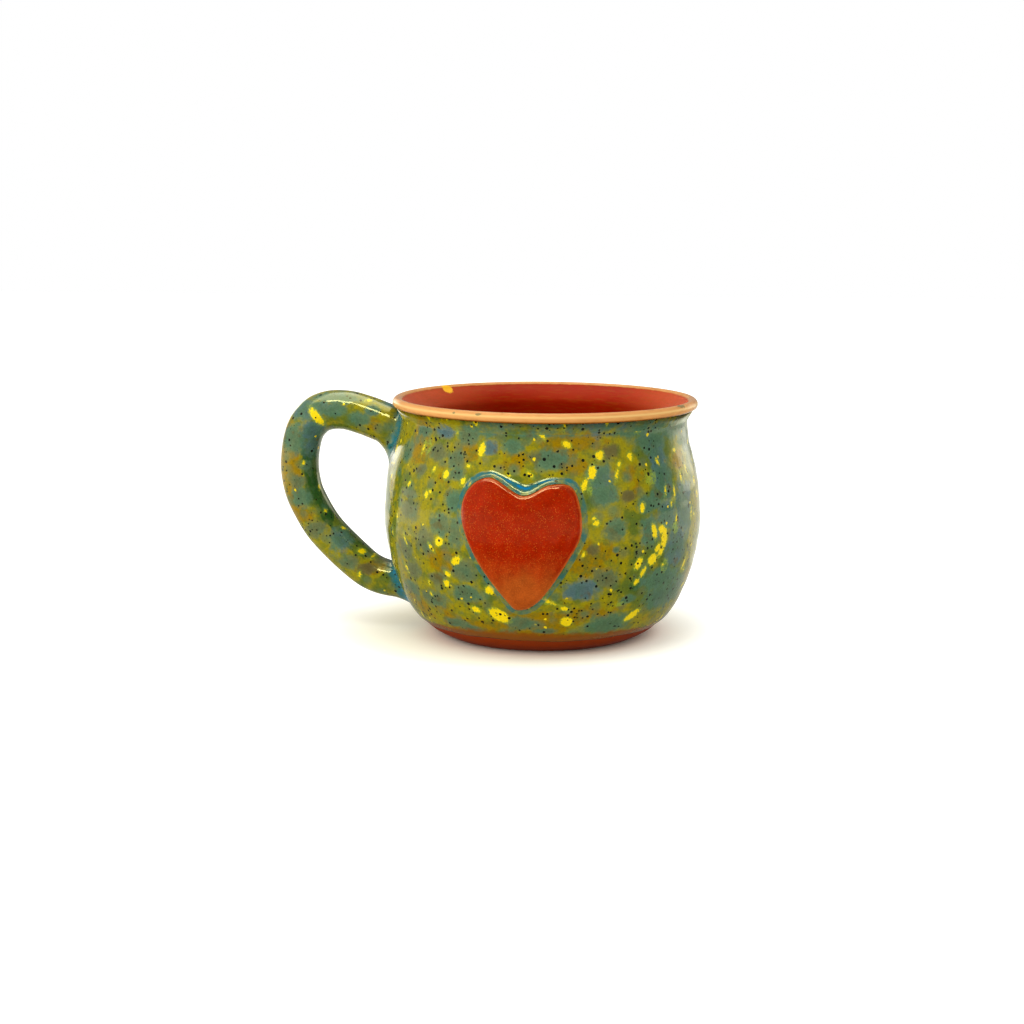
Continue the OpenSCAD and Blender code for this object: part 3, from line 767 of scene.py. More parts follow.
def maths(operation, *inputs):
    """A Math node, in the tree of its first wire."""
    tree = next(item.tree for item in inputs if isinstance(item, Wire))
    return add(tree, "Math", *inputs, operation=operation)


def step_between(value, low, high, to_low=0.0, to_high=1.0):
    """A wire carried smoothly from one range to another."""
    return add(value.tree, "MapRange", ("Value", value), ("From Min", low), ("From Max", high),
               ("To Min", to_low), ("To Max", to_high), interpolation_type="SMOOTHSTEP")


def blend(factor, first, second):
    """Two colours mixed by a wire."""
    node = factor.tree.nodes.new("ShaderNodeMix")
    node.data_type, node.clamp_factor = "RGBA", True
    for socket, value in ((node.inputs[0], factor), (node.inputs[6], first), (node.inputs[7], second)):
        link_in(socket, value)
    return Wire(factor.tree, node.outputs[2])


def noise(place, scale, detail=2.0, roughness=0.5, out=0):
    """A noise whose scale is in waves for each millimetre."""
    return add(place.tree, "TexNoise", ("Vector", place), ("Scale", scale), ("Detail", detail),
               ("Roughness", roughness), out=out)


def cells(place, scale):
    """A cellular pattern: how far its nearest cell's middle is, and two random numbers of that cell."""
    node = place.tree.nodes.new("ShaderNodeTexVoronoi")
    link_in(node.inputs["Vector"], place)
    link_in(node.inputs["Scale"], scale)
    colour = Wire(place.tree, node.outputs["Color"])
    numbers = (add(place.tree, "SeparateColor", colour, out=k) for k in (0, 1))
    return Wire(place.tree, node.outputs["Distance"]), *numbers


def scaled(wire, factor):
    """A colour or a place times a factor."""
    return add(wire.tree, "VectorMath", wire, ("Scale", factor), operation="SCALE")


def stretched(place, scales):
    """A place whose three numbers are each times a factor of their own."""
    return add(place.tree, "Mapping", ("Vector", place), ("Scale", scales))


def millimetres(tree):
    """The place on the piece in millimetres, from its own coordinates."""
    return scaled(add(tree, "TexCoord", out="Object"), 1 / MM)


def shaken(place, scale, amount):
    """A place moved about by a noise, so that a pattern read there gets wandering edges."""
    shake = noise(place, scale, 3.0, out="Color")
    shake = add(place.tree, "VectorMath", shake, (0.5, 0.5, 0.5), operation="SUBTRACT")
    return add(place.tree, "VectorMath", place, scaled(shake, amount), operation="ADD")


def attribute(tree, name):
    """A number that the mesh holds at its points."""
    return add(tree, "Attribute", out="Fac", attribute_name=name)


def specks(into):
    """Round dark specks. Each cell of a cellular pattern holds one or none, by the cell's own random
    number and a slow noise that gathers them, and the speck is where the cell's middle is near."""
    distance, chance, size = cells(into["Place"], 1.0 / into["Cell"])
    gather = step_between(noise(into["Place"], 0.11), 0.35, 0.65, 0.3, 1.8)
    there = maths("LESS_THAN", chance, into["Amount"] * gather)
    radius = into["Radius"] * maths("MULTIPLY_ADD", size, 0.9, 0.45)
    return {"Mask": step_between(distance * into["Cell"] - radius, 0.04, -0.08) * there}


def grain(into):
    """Fine grain: a colour made a little lighter and darker by a fine noise and a slower one, and the
    fine noise as a height for a bump."""
    fine = noise(into["Place"], into["Scale"], 3.0, 0.6)
    slow = noise(into["Place"], into["Scale"] * 0.12)
    swing = (fine * 0.6 + slow * 0.4 - 0.5) * into["Amount"]
    return {"Colour": scaled(into["Colour"], 1.0 + swing), "Height": fine}


def edge_break(into):
    """Edge break: a glaze's colour gives way to its thin colour where a mask, roughened by a noise,
    is high."""
    rough = noise(into["Place"], 0.45, 3.0, 0.6) - 0.5
    mask = step_between(into["Mask"] + rough * into["Raggedness"], 0.25, 0.75)
    return {"Colour": blend(mask, into["Colour"], into["Thin"]), "Mask": mask}


def mottle(into):
    """The mottled glaze. Its ground wanders between olive, ochre and amber by two noises and the
    warmth. Blots of slate, teal or blue lie on it with soft wandering edges and darker middles, small
    ones from a cellular pattern between the large ones. Ragged yellow flakes and pale veins come last."""
    place = into["Place"]
    slow = noise(place, 0.075)
    middle = noise(shaken(place, 0.3, 2.0), 0.22, 3.0, 0.6)
    fine = noise(place, 1.6, 3.0, 0.65)
    wander = (noise(place, 0.38, 4.0, 0.62) - 0.5) * 1.7
    ragged = noise(place, 1.4, 4.0, 0.72) - 0.5

    warm = into["Warmth"] * 0.26 + (slow * 0.5 + middle * 0.5)
    ground = blend(step_between(warm, 0.18, 0.36), into["Green"], into["Olive"])
    ground = blend(step_between(warm, 0.38, 0.50), ground, into["Ochre"])
    ground = blend(step_between(warm, 0.56, 0.68), ground, into["Amber"])
    veil = noise(shaken(place, 0.5, 1.5), 0.33, 5.0, 0.68)
    ground = blend(step_between(veil, 0.44, 0.66, 0.0, 0.62), ground, into["Veil"])

    height = into["Blot"] + wander
    mask = step_between(height, -0.42, 0.34)
    hue = into["Hue"] + (middle - 0.5) * 0.8
    blot = blend(step_between(hue, 0.0, 0.42), into["Slate"], into["Teal"])
    blot = blend(step_between(hue, 0.5, 0.95), blot, into["Blue"])
    blot = blend(step_between(height, 0.2, 0.9, 0.0, 0.16), blot, (0.0, 0.0, 0.0))
    patches = step_between(noise(place, 0.16, 3.0, 0.6), 0.58, 0.68, 0.0, 0.5)
    brown = maths("MAXIMUM", patches, step_between(into["Hue"], -0.1, -0.4, 0.0, 0.5))
    blot = blend(brown, blot, into["Brown"])
    tone = blend(mask * 0.92, ground, blot)

    distance, chance, small_hue = cells(shaken(place, 0.35, 1.9), 0.23)
    near = step_between(distance, 0.62, 0.18) * maths("LESS_THAN", chance, 0.55)
    small = blend(small_hue, into["Slate"], into["Teal"])
    tone = blend(near * (0.6 - mask * 0.45), tone, small)
    tone = scaled(tone, 0.55 + fine * 0.78)

    edge = into["Flake edge"] + ragged * 2.3
    distance, chance, _ = cells(shaken(place, 1.3, 0.7), 0.30)
    chip = step_between(distance + ragged * 0.3, 0.17, 0.12) * maths("LESS_THAN", chance, 0.16)
    flakes = maths("MAXIMUM", step_between(edge, 0.16, -0.10), chip)
    veins = step_between(noise(stretched(place, (1.0, 1.0, 0.28)), 0.8, 4.0, 0.7), 0.66, 0.74)
    veins = veins * step_between(noise(place, 0.06, 1.0), 0.5, 0.62)
    lattice = abs(noise(shaken(place, 0.9, 0.8), 0.55, 3.0, 0.6) - 0.5)
    wisps = step_between(into["Vein spot"] + wander * 0.5, 0.0, 0.4)
    veins = maths("MAXIMUM", veins, wisps * step_between(lattice, 0.075, 0.02, 0.2, 1.0))
    tone = blend(veins * 0.7, tone, into["Vein"])
    tone = blend(step_between(edge, 0.75, 0.1, 0.0, 0.45), tone, into["Vein"])
    flake = scaled(into["Flake"], 0.72 + noise(place, 2.2) * 0.56)
    return {"Colour": blend(flakes, tone, flake), "Flakes": flakes}


# The mottled glaze's colours, by their names in the settings
MOTTLE_TONES = ("amber", "ochre", "olive", "green", "veil", "slate", "teal", "blue", "brown", "flake", "vein")
# Node groups: how each is filled, what it takes and what it gives
EFFECTS = {
    "Specks": (specks, {"Place": "Vector", "Cell": "Float", "Radius": "Float", "Amount": "Float"},
               {"Mask": "Float"}),
    "Grain": (grain, {"Colour": "Color", "Place": "Vector", "Scale": "Float", "Amount": "Float"},
              {"Colour": "Color", "Height": "Float"}),
    "Edge break": (edge_break, {"Colour": "Color", "Thin": "Color", "Mask": "Float", "Place": "Vector",
                                "Raggedness": "Float"}, {"Colour": "Color", "Mask": "Float"}),
    "Mottle": (mottle, {"Place": "Vector", "Blot": "Float", "Hue": "Float", "Warmth": "Float",
                        "Flake edge": "Float", "Vein spot": "Float",
                        **{tone.capitalize(): "Color" for tone in MOTTLE_TONES}},
               {"Colour": "Color", "Flakes": "Float"}),
}


def effect(name, **values):
    """Puts a node group in the tree of its place, and gives its outputs by name. The group is made at
    its first use."""
    group = bpy.data.node_groups.get(name)
    if group is None:
        fill, takes, gives = EFFECTS[name]
        group = bpy.data.node_groups.new(name, "ShaderNodeTree")
        for way, sockets in (("INPUT", takes), ("OUTPUT", gives)):
            for key, kind in sockets.items():
                group.interface.new_socket(key, in_out=way, socket_type="NodeSocket" + kind)
        entry, leave = group.nodes.new("NodeGroupInput"), group.nodes.new("NodeGroupOutput")
        for key, wire in fill({socket.name: Wire(group, socket) for socket in entry.outputs}).items():
            link_in(leave.inputs[key], wire)
    tree = values["Place"].tree
    node = tree.nodes.new("ShaderNodeGroup")
    node.node_tree = group
    for key, value in values.items():
        link_in(node.inputs[key.replace("_", " ")], value)
    return {socket.name: Wire(tree, socket) for socket in node.outputs}


def emptied(owner):
    """The node tree of a material or a world, with nothing in it."""
    owner.use_nodes = True
    owner.node_tree.nodes.clear()
    return owner.node_tree


def new_material(name, **fixed):
    """A material with a Principled shader: the material, its tree and the shader's inputs."""
    material = bpy.data.materials.new(name)
    tree = emptied(material)
    shader = tree.nodes.new("ShaderNodeBsdfPrincipled")
    leave = tree.nodes.new("ShaderNodeOutputMaterial")
    tree.links.new(shader.outputs[0], leave.inputs[0])
    for key, value in fixed.items():
        shader.inputs[key.replace("_", " ")].default_value = value
    return material, tree, shader.inputs


def skin(shader, tone, height, strength, distance):
    """Links a shader's colour, and its normal to the bump of a height. The distance is in metres."""
    link_in(shader["Base Color"], tone)
    link_in(shader["Normal"], add(
        height.tree, "Bump", ("Strength", strength), ("Distance", distance), ("Height", height)))


def red_clay(name, c):
    """Bare fired clay: fine grain, turning lines and darker pores."""
    material, tree, shader = new_material(name, Roughness=0.55, Specular_IOR_Level=0.06)
    place = millimetres(tree)
    grained = effect("Grain", Place=place, Colour=c.clay, Scale=2.6, Amount=0.7)
    rings = add(tree, "TexWave", ("Vector", place), ("Scale", 0.55), ("Distortion", 1.5),
                ("Detail Scale", 0.3), bands_direction="Z")
    pores = effect("Specks", Place=place, Cell=1.4, Radius=0.16, Amount=0.35)["Mask"]
    tone = blend(pores, blend(rings * 0.22, grained["Colour"], c.clay_dark), c.clay_dark)
    skin(shader, tone, grained["Height"] + rings * 0.6 - pores, 0.5, 0.06 * MM)
    return material


def fine_clay(name, tone, roughness, scale):
    """Fired clay or slip with nothing but a fine grain."""
    material, tree, shader = new_material(name, Roughness=roughness)
    grained = effect("Grain", Place=millimetres(tree), Colour=tone, Scale=scale, Amount=0.5)
    skin(shader, grained["Colour"], grained["Height"], 0.4, 0.04 * MM)
    return material


def slip_clay(name, c):
    """Fired slip: pale and matt."""
    return fine_clay(name, c.slip, 0.8, 4.0)


def heart_clay(name, c):
    """Fired clay of the heart's slab, under its glaze."""
    return fine_clay(name, c.heart_edge, 0.6, 3.0)


def mottled_glaze(name, c):
    """The glossy mottled glaze, with specks, blue pools and a thin amber edge over the clay."""
    material, tree, shader = new_material(name, IOR=1.5, Specular_Tint=(1, 0.96, 0.42, 1))
    place = millimetres(tree)
    thin = attribute(tree, "thin")
    mottled = effect(
        "Mottle", Place=place, Blot=attribute(tree, "blot"), Hue=attribute(tree, "hue"),
        Warmth=attribute(tree, "warmth"), Flake_edge=attribute(tree, "flake"),
        Vein_spot=attribute(tree, "vein"), **{tone.capitalize(): getattr(c, tone) for tone in MOTTLE_TONES})
    thinned = effect("Edge break", Place=place, Colour=mottled["Colour"], Thin=c.thin, Mask=thin,
                     Raggedness=0.8)
    pool = attribute(tree, "pool") * step_between(noise(place, 0.42, 3.0, 0.6), 0.3, 0.7, 0.5, 1.15)
    tone = blend(step_between(pool, 0.05, 0.55, 0.0, 0.92), thinned["Colour"], c.pool)
    tone = blend(step_between(pool, 0.6, 0.95, 0.0, 0.95), tone, c.deep_pool)
    # Above 1 the pool turns navy: partly thick glaze, partly a painted dark reflection.
    tone = blend(step_between(pool, 1.0, 1.3), tone, c.pool_line_and_dark_reflection)
    dark = effect("Specks", Place=place, Cell=1.5, Radius=0.42, Amount=0.42)["Mask"]
    tone = blend(dark * step_between(thin, 0.7, 0.3), tone, c.speck)
    link_in(shader["Roughness"], 0.07 + mottled["Flakes"] * 0.16 + thinned["Mask"] * 0.18)
    height = noise(place, 0.35, 1.0) + mottled["Flakes"] * 0.06 + noise(place, 1.1) * 0.26
    skin(shader, tone, height, 0.35, 0.25 * MM)
    return material


def lining_glaze(name, c):
    """The glossy red-brown lining, which breaks to tan over the rim and to brown along its line."""
    material, tree, shader = new_material(
        name, IOR=1.5, Specular_IOR_Level=0.07, Specular_Tint=(1, 0.62, 0.26, 1))
    place, rim = millimetres(tree), attribute(tree, "rim")
    # Painted reflection of the white surround: the lining turns lighter left and right of the middle.
    aside = abs(add(tree, "SeparateXYZ", place))
    ground = blend(step_between(aside, 18.0, 46.0), c.lining, c.lining_side_reflection)
    grained = effect("Grain", Place=place, Colour=ground, Scale=1.5, Amount=0.45)["Colour"]
    tone = effect("Edge break", Place=place, Colour=grained, Thin=c.rim, Mask=rim, Raggedness=0.5)["Colour"]
    streaks = noise(stretched(place, (0.25, 0.25, 2.2)), 0.9, 3.0)
    tone = blend(step_between(streaks, 0.45, 0.75, 0.0, 0.28), tone, c.rim_line)
    # Painted highlight: a pale line along the bead.
    tone = blend(attribute(tree, "crest"), tone, c.rim_highlight)
    tone = blend(attribute(tree, "line"), tone, c.rim_line)
    ragged = noise(place, 0.9, 3.0, 0.6) - 0.5
    for key, spot, strength in (("smudge", c.slate, 0.7), ("fleck", c.inner_fleck, 0.95)):
        tone = blend(step_between(attribute(tree, key) + ragged, 0.0, 0.3, 0.0, strength), tone, spot)
    link_in(shader["Roughness"], step_between(rim, 0.0, 1.0, 0.36, 0.05) + streaks * 0.06)
    lines = streaks * 0.25 * step_between(rim, 0.2, 0.8, 1.0, 0.0)
    skin(shader, tone, noise(place, 0.4, 1.0) + lines, 0.35, 0.2 * MM)
    return material


def heart_glaze(name, c):
    """The heart's glossy red-orange glaze, lighter where it breaks over the edge, with fine sparkles."""
    material, tree, shader = new_material(name, IOR=1.5, Specular_Tint=(1, 0.72, 0.36, 1))
    place = millimetres(tree)
    drift = (noise(place, 0.12, 3.0, 0.6) - 0.5) * 16.0
    # Painted reflection of the white floor: the heart is blended to a lighter tone towards its tip.
    low = step_between(add(tree, "SeparateXYZ", place, out="Z") + drift, 38.0, 23.0, 0.0, 0.92)
    grained = effect("Grain", Place=place, Colour=blend(low, c.heart, c.heart_low_reflection), Scale=2.4, Amount=1.6)
    tone = effect("Edge break", Place=place, Colour=grained["Colour"], Thin=c.heart_edge,
                  Mask=attribute(tree, "rim"), Raggedness=0.35)["Colour"]
    sparkle = effect("Specks", Place=place, Cell=0.4, Radius=0.12, Amount=0.9)["Mask"]
    link_in(shader["Roughness"], step_between(noise(place, 0.5), 0.3, 0.7, 0.07, 0.13))
    skin(shader, blend(sparkle * 0.7, tone, c.heart_edge),
         noise(place, 0.5, 1.0) + grained["Height"] * 0.2, 0.35, 0.2 * MM)
    return material


# The material of each slot: its name and what makes it
MATERIALS = {
    "red_clay": ("Red clay", red_clay),
    "slip": ("Fired slip", slip_clay),
    "heart_clay": ("Heart clay", heart_clay),
    "mottled_glaze": ("Mottled glaze", mottled_glaze),
    "lining_glaze": ("Lining glaze", lining_glaze),
    "heart_glaze": ("Heart glaze", heart_glaze),
}


def material_of(slot):
    """The material of a slot, made at its first use."""
    name, make = MATERIALS[slot]
    return bpy.data.materials.get(name) or make(name, settings().mug_colours)


def grip_line(wall, cup, grip):
    """The grip's centre line in its plane, as (distance from the axis, height), from inside the wall at
    the top, through its chosen points, to inside the wall at the bottom."""
    upper = cup.height - grip.upper_drop
    crest = upper + grip.rise
    reach = -GRIP_LOW.x - cup.belly_radius - grip.thick / 2

    def wall_radius(z):
        return float(np.interp(z, wall.table[:, 1], wall.table[:, 0]))

    start, end = np.array([cup.belly_radius, grip.lower_joint]), np.array([reach, crest - grip.lower_joint])
    top, bottom = wall_radius(upper), wall_radius(grip.lower_joint)
    neck = cup.belly_radius - cup.neck_inset
    points = np.vstack([[(ROOT_SHARE * neck, upper), (top, upper)], start + GRIP_SHARES * end,
                        [(bottom, grip.lower_joint), (ROOT_SHARE * bottom, grip.lower_joint)]])
    return curve_through(points, FINE_STEPS)


class Grip:
    """The grip as a tube round its centre line, on a fine grid of stations and sides."""

    def __init__(self, wall, cup, grip):
        line = grip_line(wall, cup, grip)
        self.line = line
        self.wall = wall
        self.grip = grip
        self.angles = np.arange(GRIP_SIDES) / GRIP_SIDES * 2 * np.pi
        self.heading = unit(np.gradient(line, axis=0))
        self.middle = int(line[:, 0].argmax())
        place = np.arange(len(line)) / (len(line) - 1)
        self.half = (grip.thick - (grip.thick - grip.end_thick) * place**TAPER_POWER) / 2

    def tube(self, extra):
        """Points at every station and side: the centre plus the cosine of the side's angle times the half
        thickness across the line, plus its sine times the half width along Y."""
        across = np.stack([-self.heading[:, 1], self.heading[:, 0]], -1)
        cos, sin = np.cos(self.angles), np.sin(self.angles)
        out = (self.half + extra)[:, None] * cos
        x = -(self.line[:, None, 0] + out * across[:, None, 0])
        y = np.broadcast_to((self.grip.wide / 2 + extra) * sin, x.shape)
        z = self.line[:, None, 1] + out * across[:, None, 1]
        return np.stack([x, y, z], -1)

    def fillet_radii(self, upper):
        """The joint's fillet radius at each side: the one side of the grip that faces away from its bend,
        the other side, and between them the radius beside it."""
        g = self.grip
        cos = np.cos(self.angles)
        out, back = (g.top_fillet, g.under_fillet) if upper else (g.lower_fillet, g.crotch_fillet)
        return g.side_fillet + (np.where(cos > 0, out, back) - g.side_fillet) * np.abs(cos) ** 2

    def at_distance(self, tube, upper, gap):
        """Where each side's line stands gap off the wall, at one of its two ends: (station, point)."""
        part = tube[: self.middle + 1] if upper else tube[self.middle:][::-1]
        off = self.wall.distance(part)
        k = np.clip((off > gap).argmax(0), 1, len(part) - 1)
        j = np.arange(part.shape[1])
        low, high = off[k - 1, j], off[k, j]
        t = np.clip((gap - low) / np.where(high - low == 0, 1, high - low), 0, 1)
        point = part[k - 1, j] + t[:, None] * (part[k, j] - part[k - 1, j])
        station = k - 1 + t
        return (station if upper else len(tube) - 1 - station), point

    def middle_rows(self, tube, from_station, to_station, count):
        """Rows between two stations of each side, evenly spaced along it."""
        share_along = np.linspace(0, 1, count)[:, None]
        stations = from_station + share_along * (to_station - from_station)
        low = np.clip(np.floor(stations).astype(int), 0, len(tube) - 2)
        j = np.arange(tube.shape[1])[None, :]
        t = (stations - low)[..., None]
        return tube[low, j] * (1 - t) + tube[low + 1, j] * t

    def fillet_rows(self, tube, upper, base, count):
        """Rows from the tube down a quarter circle to the wall: at angle q the surface stands
        R(1 - sin q) off the wall and R(1 - cos q) out from the tube. Each point is then laid on the wall
        at its own height, base above it."""
        radii = self.fillet_radii(upper)
        rows = []
        centre = tube.mean(1)
        for q in np.linspace(0, np.pi / 2, count):
            height = radii * (1 - np.sin(q))
            station, point = self.at_distance(tube, upper, base + height)
            middle = np.stack([np.interp(station, np.arange(len(tube)), centre[:, k]) for k in range(3)], -1)
            away = point - middle
            normal = self.wall.normals(point)
            away = unit(away - (away * normal).sum(-1, keepdims=True) * normal)
            moved = point + (radii * (1 - np.cos(q)))[:, None] * away
            rows.append(self.wall.laid(moved, base + height))
        rows = np.array(rows)
        return rows[::-1] if upper else rows


def ends_on_wall(wall, ring, height, count):
    """Rows from a ring on the wall in to one point, each laid on the wall at a height: a closed cap."""
    centre = wall.laid(ring.mean(0), height)
    shares = np.linspace(0, 1, count)[:, None, None]
    rows = wall.laid(ring + shares * (centre - ring), height)
    rows[-1] = rows[-1].mean(0)
    return rows


class MUG_OT_cup(bpy.types.Operator):
    """Makes the thrown cup of bare clay"""
    bl_idname = "mug.cup"
    bl_label = "Cup"

    def execute(self, context):
        cup = context.scene.mug_cup
        wall = Wall(cup)
        ring_inner = cup.foot_radius - cup.foot_ring
        rounding = np.radians(np.linspace(-90, -35, 6))
        foot_edge = np.stack([cup.foot_radius - cup.foot_round * (1 - np.cos(rounding)),
                              cup.foot_round * (1 + np.sin(rounding))], -1)
        outside = wall.outside[wall.outside[:, 1] > foot_edge[-1, 1]]
        under = np.array([[0, cup.foot_hollow], [ring_inner * 0.5, cup.foot_hollow],
                          [ring_inner - 2 * cup.foot_hollow, cup.foot_hollow],
                          [ring_inner - 0.6 * cup.foot_hollow, cup.foot_hollow * 0.6],
                          [ring_inner, 0], [cup.foot_radius - 3 * cup.foot_round, 0]])
        section = np.vstack([foot_edge, outside, wall.over, wall.inside, wall.floor_line])
        run = run_of(section)
        dense = np.concatenate([np.linspace(0, 12 * MM, 30)[:-1], np.linspace(12 * MM, run[-1], 130)])
        line = np.vstack([under, along(section, dense)])
        rows = with_poles(wall.thrown(turned(line, round_angles(240))))
        solid("cup", rows, (36, 2, 1, 1), "red_clay", "cup_body")
        return {"FINISHED"}


def glaze_line(angles, glaze):
    """Height of the glaze's lower edge round the cup: it hangs lower left and right, by the fourth
    power of the sine from the front, with a few slow waves about it."""
    wave = 0.45 * np.sin(angles + 0.4) + 0.3 * np.sin(3 * angles + 1.9) + 0.16 * np.sin(7 * angles + 0.8)
    hang = glaze.edge_hang * np.cos(angles)**4
    return glaze.edge - hang + glaze.edge_wave * (wave + 0.09 * np.sin(17 * angles + 2.2))


def joint_nearness(points, cup, grip, reach):
    """1 on and inside the outline of either joint of the grip, falling to 0 at a reach from it. The
    outline is an ellipse round the joint's middle that takes in its fillet."""
    y, z = points[..., 1], points[..., 2]
    upper = cup.height - grip.upper_drop
    nearness = np.zeros(y.shape)
    for middle, half, above, below in (
            (upper, grip.thick / 2, grip.top_fillet, grip.under_fillet),
            (grip.lower_joint, grip.end_thick / 2, grip.crotch_fillet, grip.lower_fillet)):
        tall = half + np.where(z > middle, above, below)
        wide = grip.wide / 2 + grip.side_fillet
        q = np.hypot(y / wide, (z - middle) / tall)
        gap = (q - 1) * (tall + wide) / 2
        nearness = np.maximum(nearness, 1 - np.clip(gap / reach, 0, 1))
    return nearness * (points[..., 0] < 0)


def pattern(points, normals, thin, pool, amount=1.0):
    """All the numbers that the mottled glaze's material reads on a grid: its pattern, how thin it is
    over the clay and how deep it pooled, each from 0 up."""
    view = PhotoView(settings().mug_studio)
    return {**glaze_marks(points, normals, view, amount), "thin": thin, "pool": pool}


class MUG_OT_body_glaze(bpy.types.Operator):
    """Makes the mottled glaze on the cup's outside"""
    bl_idname = "mug.body_glaze"
    bl_label = "Body glaze"

    def execute(self, context):
        scene = context.scene
        cup, glaze, grip = scene.mug_cup, scene.mug_glaze, scene.mug_grip
        wall = Wall(cup)
        angles = round_angles(448, 0.55)
        run, line = run_of(wall.glazed), wall.glazed
        low = np.interp(glaze_line(angles, glaze), line[:, 1], run)
        shares = np.concatenate([np.linspace(0, 0.03, 6)[:-1], np.linspace(0.03, 0.985, 184)[:-1],
                                 np.linspace(0.985, 1, 6)])[:, None]
        places = low + shares * (run[-1] - low)
        base = turned(along(line, places), angles)
        normals = wall.normals(base)
        from_edge = (places - low) / MM
        from_top = (run[-1] - places) / MM
        thick = glaze.outside * smoothstep(from_edge, -0.3, 4) * (0.1 + 0.9 * smoothstep(from_top, 0, 0.9))
        thick = thick + glaze.unevenness * swell(base, 14 * MM, 3) * smoothstep(from_edge, 1, 5)
        outer = base + thick[..., None] * normals
        outer[0] = base[0]
        outer[-1] = base[-1] + HAIR * normals[-1]
        inner_shares = np.linspace(1, 0, 14)[1:-1, None]
        inner = turned(along(line, low + inner_shares * (run[-1] - low)), angles)
        rows = np.vstack([outer, inner - 0.05 * MM * wall.normals(inner)])
        thin = np.zeros(rows.shape[:-1])
        reach = 4.5 + 4 * np.maximum(-np.sin(angles), 0) ** 2
        thin[: len(outer)] = 1 - smoothstep(from_edge / reach, 0.12, 1)
        pool = 0.5 * joint_nearness(rows, cup, grip, 3 * MM)
        pool[: len(outer)] += 0.13 * (1 - smoothstep(from_top, 2.5, 6.5)) * (from_top > 0)
        bent = wall.thrown(rows)
        solid("mottled_glaze_on_the_body", bent, (len(outer) - 1, 4, 1, 2), "mottled_glaze", "body_glaze",
              loop=True, values=pattern(bent, wall.normals(rows), thin, pool))
        return {"FINISHED"}


class MUG_OT_lining(bpy.types.Operator):
    """Makes the glaze inside the cup and over its rim"""
    bl_idname = "mug.lining"
    bl_label = "Lining"

    def execute(self, context):
        scene = context.scene
        cup, glaze = scene.mug_cup, scene.mug_glaze
        wall = Wall(cup)
        over = wall.bead(np.linspace(MEETING, BEAD_TO, 46))
        down = along(wall.inside, np.linspace(0.3 * MM, run_of(wall.inside)[-1], 90))
        radius = np.linspace(1, 0, 14)[1:]
        bottom = np.stack([down[-1, 0] * radius, down[-1, 1] + 0 * radius], -1)
        line = np.vstack([over, down, bottom])
        run = run_of(line)
        thick = glaze.lining * smoothstep(run, -0.2 * MM, 1.2 * MM)
        outer = line + thick[:, None] * line_normals(line)
        outer[0] = line[0] + HAIR * line_normals(line)[0]
        outer[-1, 0] = 0
        inner = along(line, np.linspace(0, run[-1], 30))
        angles = round_angles(320)
        rows = with_poles(np.vstack([turned(outer[::-1], angles), turned(inner, angles)]))
        band_end, crest = (cup.bead_radius * math.radians(place - MEETING) for place in (BAND_END, RIM_HIGHLIGHT_ANGLE))
        band = np.where(run < band_end, 1, 1 - smoothstep(run, band_end, band_end + 1.6 * MM))
        edge = 1 - smoothstep(run, 0.5 * MM, 1.3 * MM)
        # Painted highlight: a pale line along the bead at the chosen angle.
        pale = 0.85 * np.exp(-((run - crest) / (0.32 * MM)) ** 2)
        bent = wall.thrown(rows)
        shown = bent[: len(outer)]
        normals = grid_normals(shown)
        normals = normals * np.sign((normals[..., 2]).sum())
        spots = seen_spots(PhotoView(scene.mug_studio), shown, normals, LINING_SPOTS, (1, 1))
        values = {}
        for name, by_row in (("rim", band), ("line", edge), ("crest", pale)):
            values[name] = np.zeros(rows.shape[:-1])
            values[name][: len(outer)] = by_row[::-1, None]
        for name, kind in (("fleck", 1), ("smudge", 0)):
            values[name] = np.full(rows.shape[:-1], -FAR)
            values[name][: len(outer)] = spot_field(
                shown, normals, [spot for spot, k in spots if k == kind])[0]
        solid("red_lining_glaze", bent, (len(outer) - 1, 2, 2, 2), "lining_glaze", "lining_glaze",
              values=values)
        return {"FINISHED"}


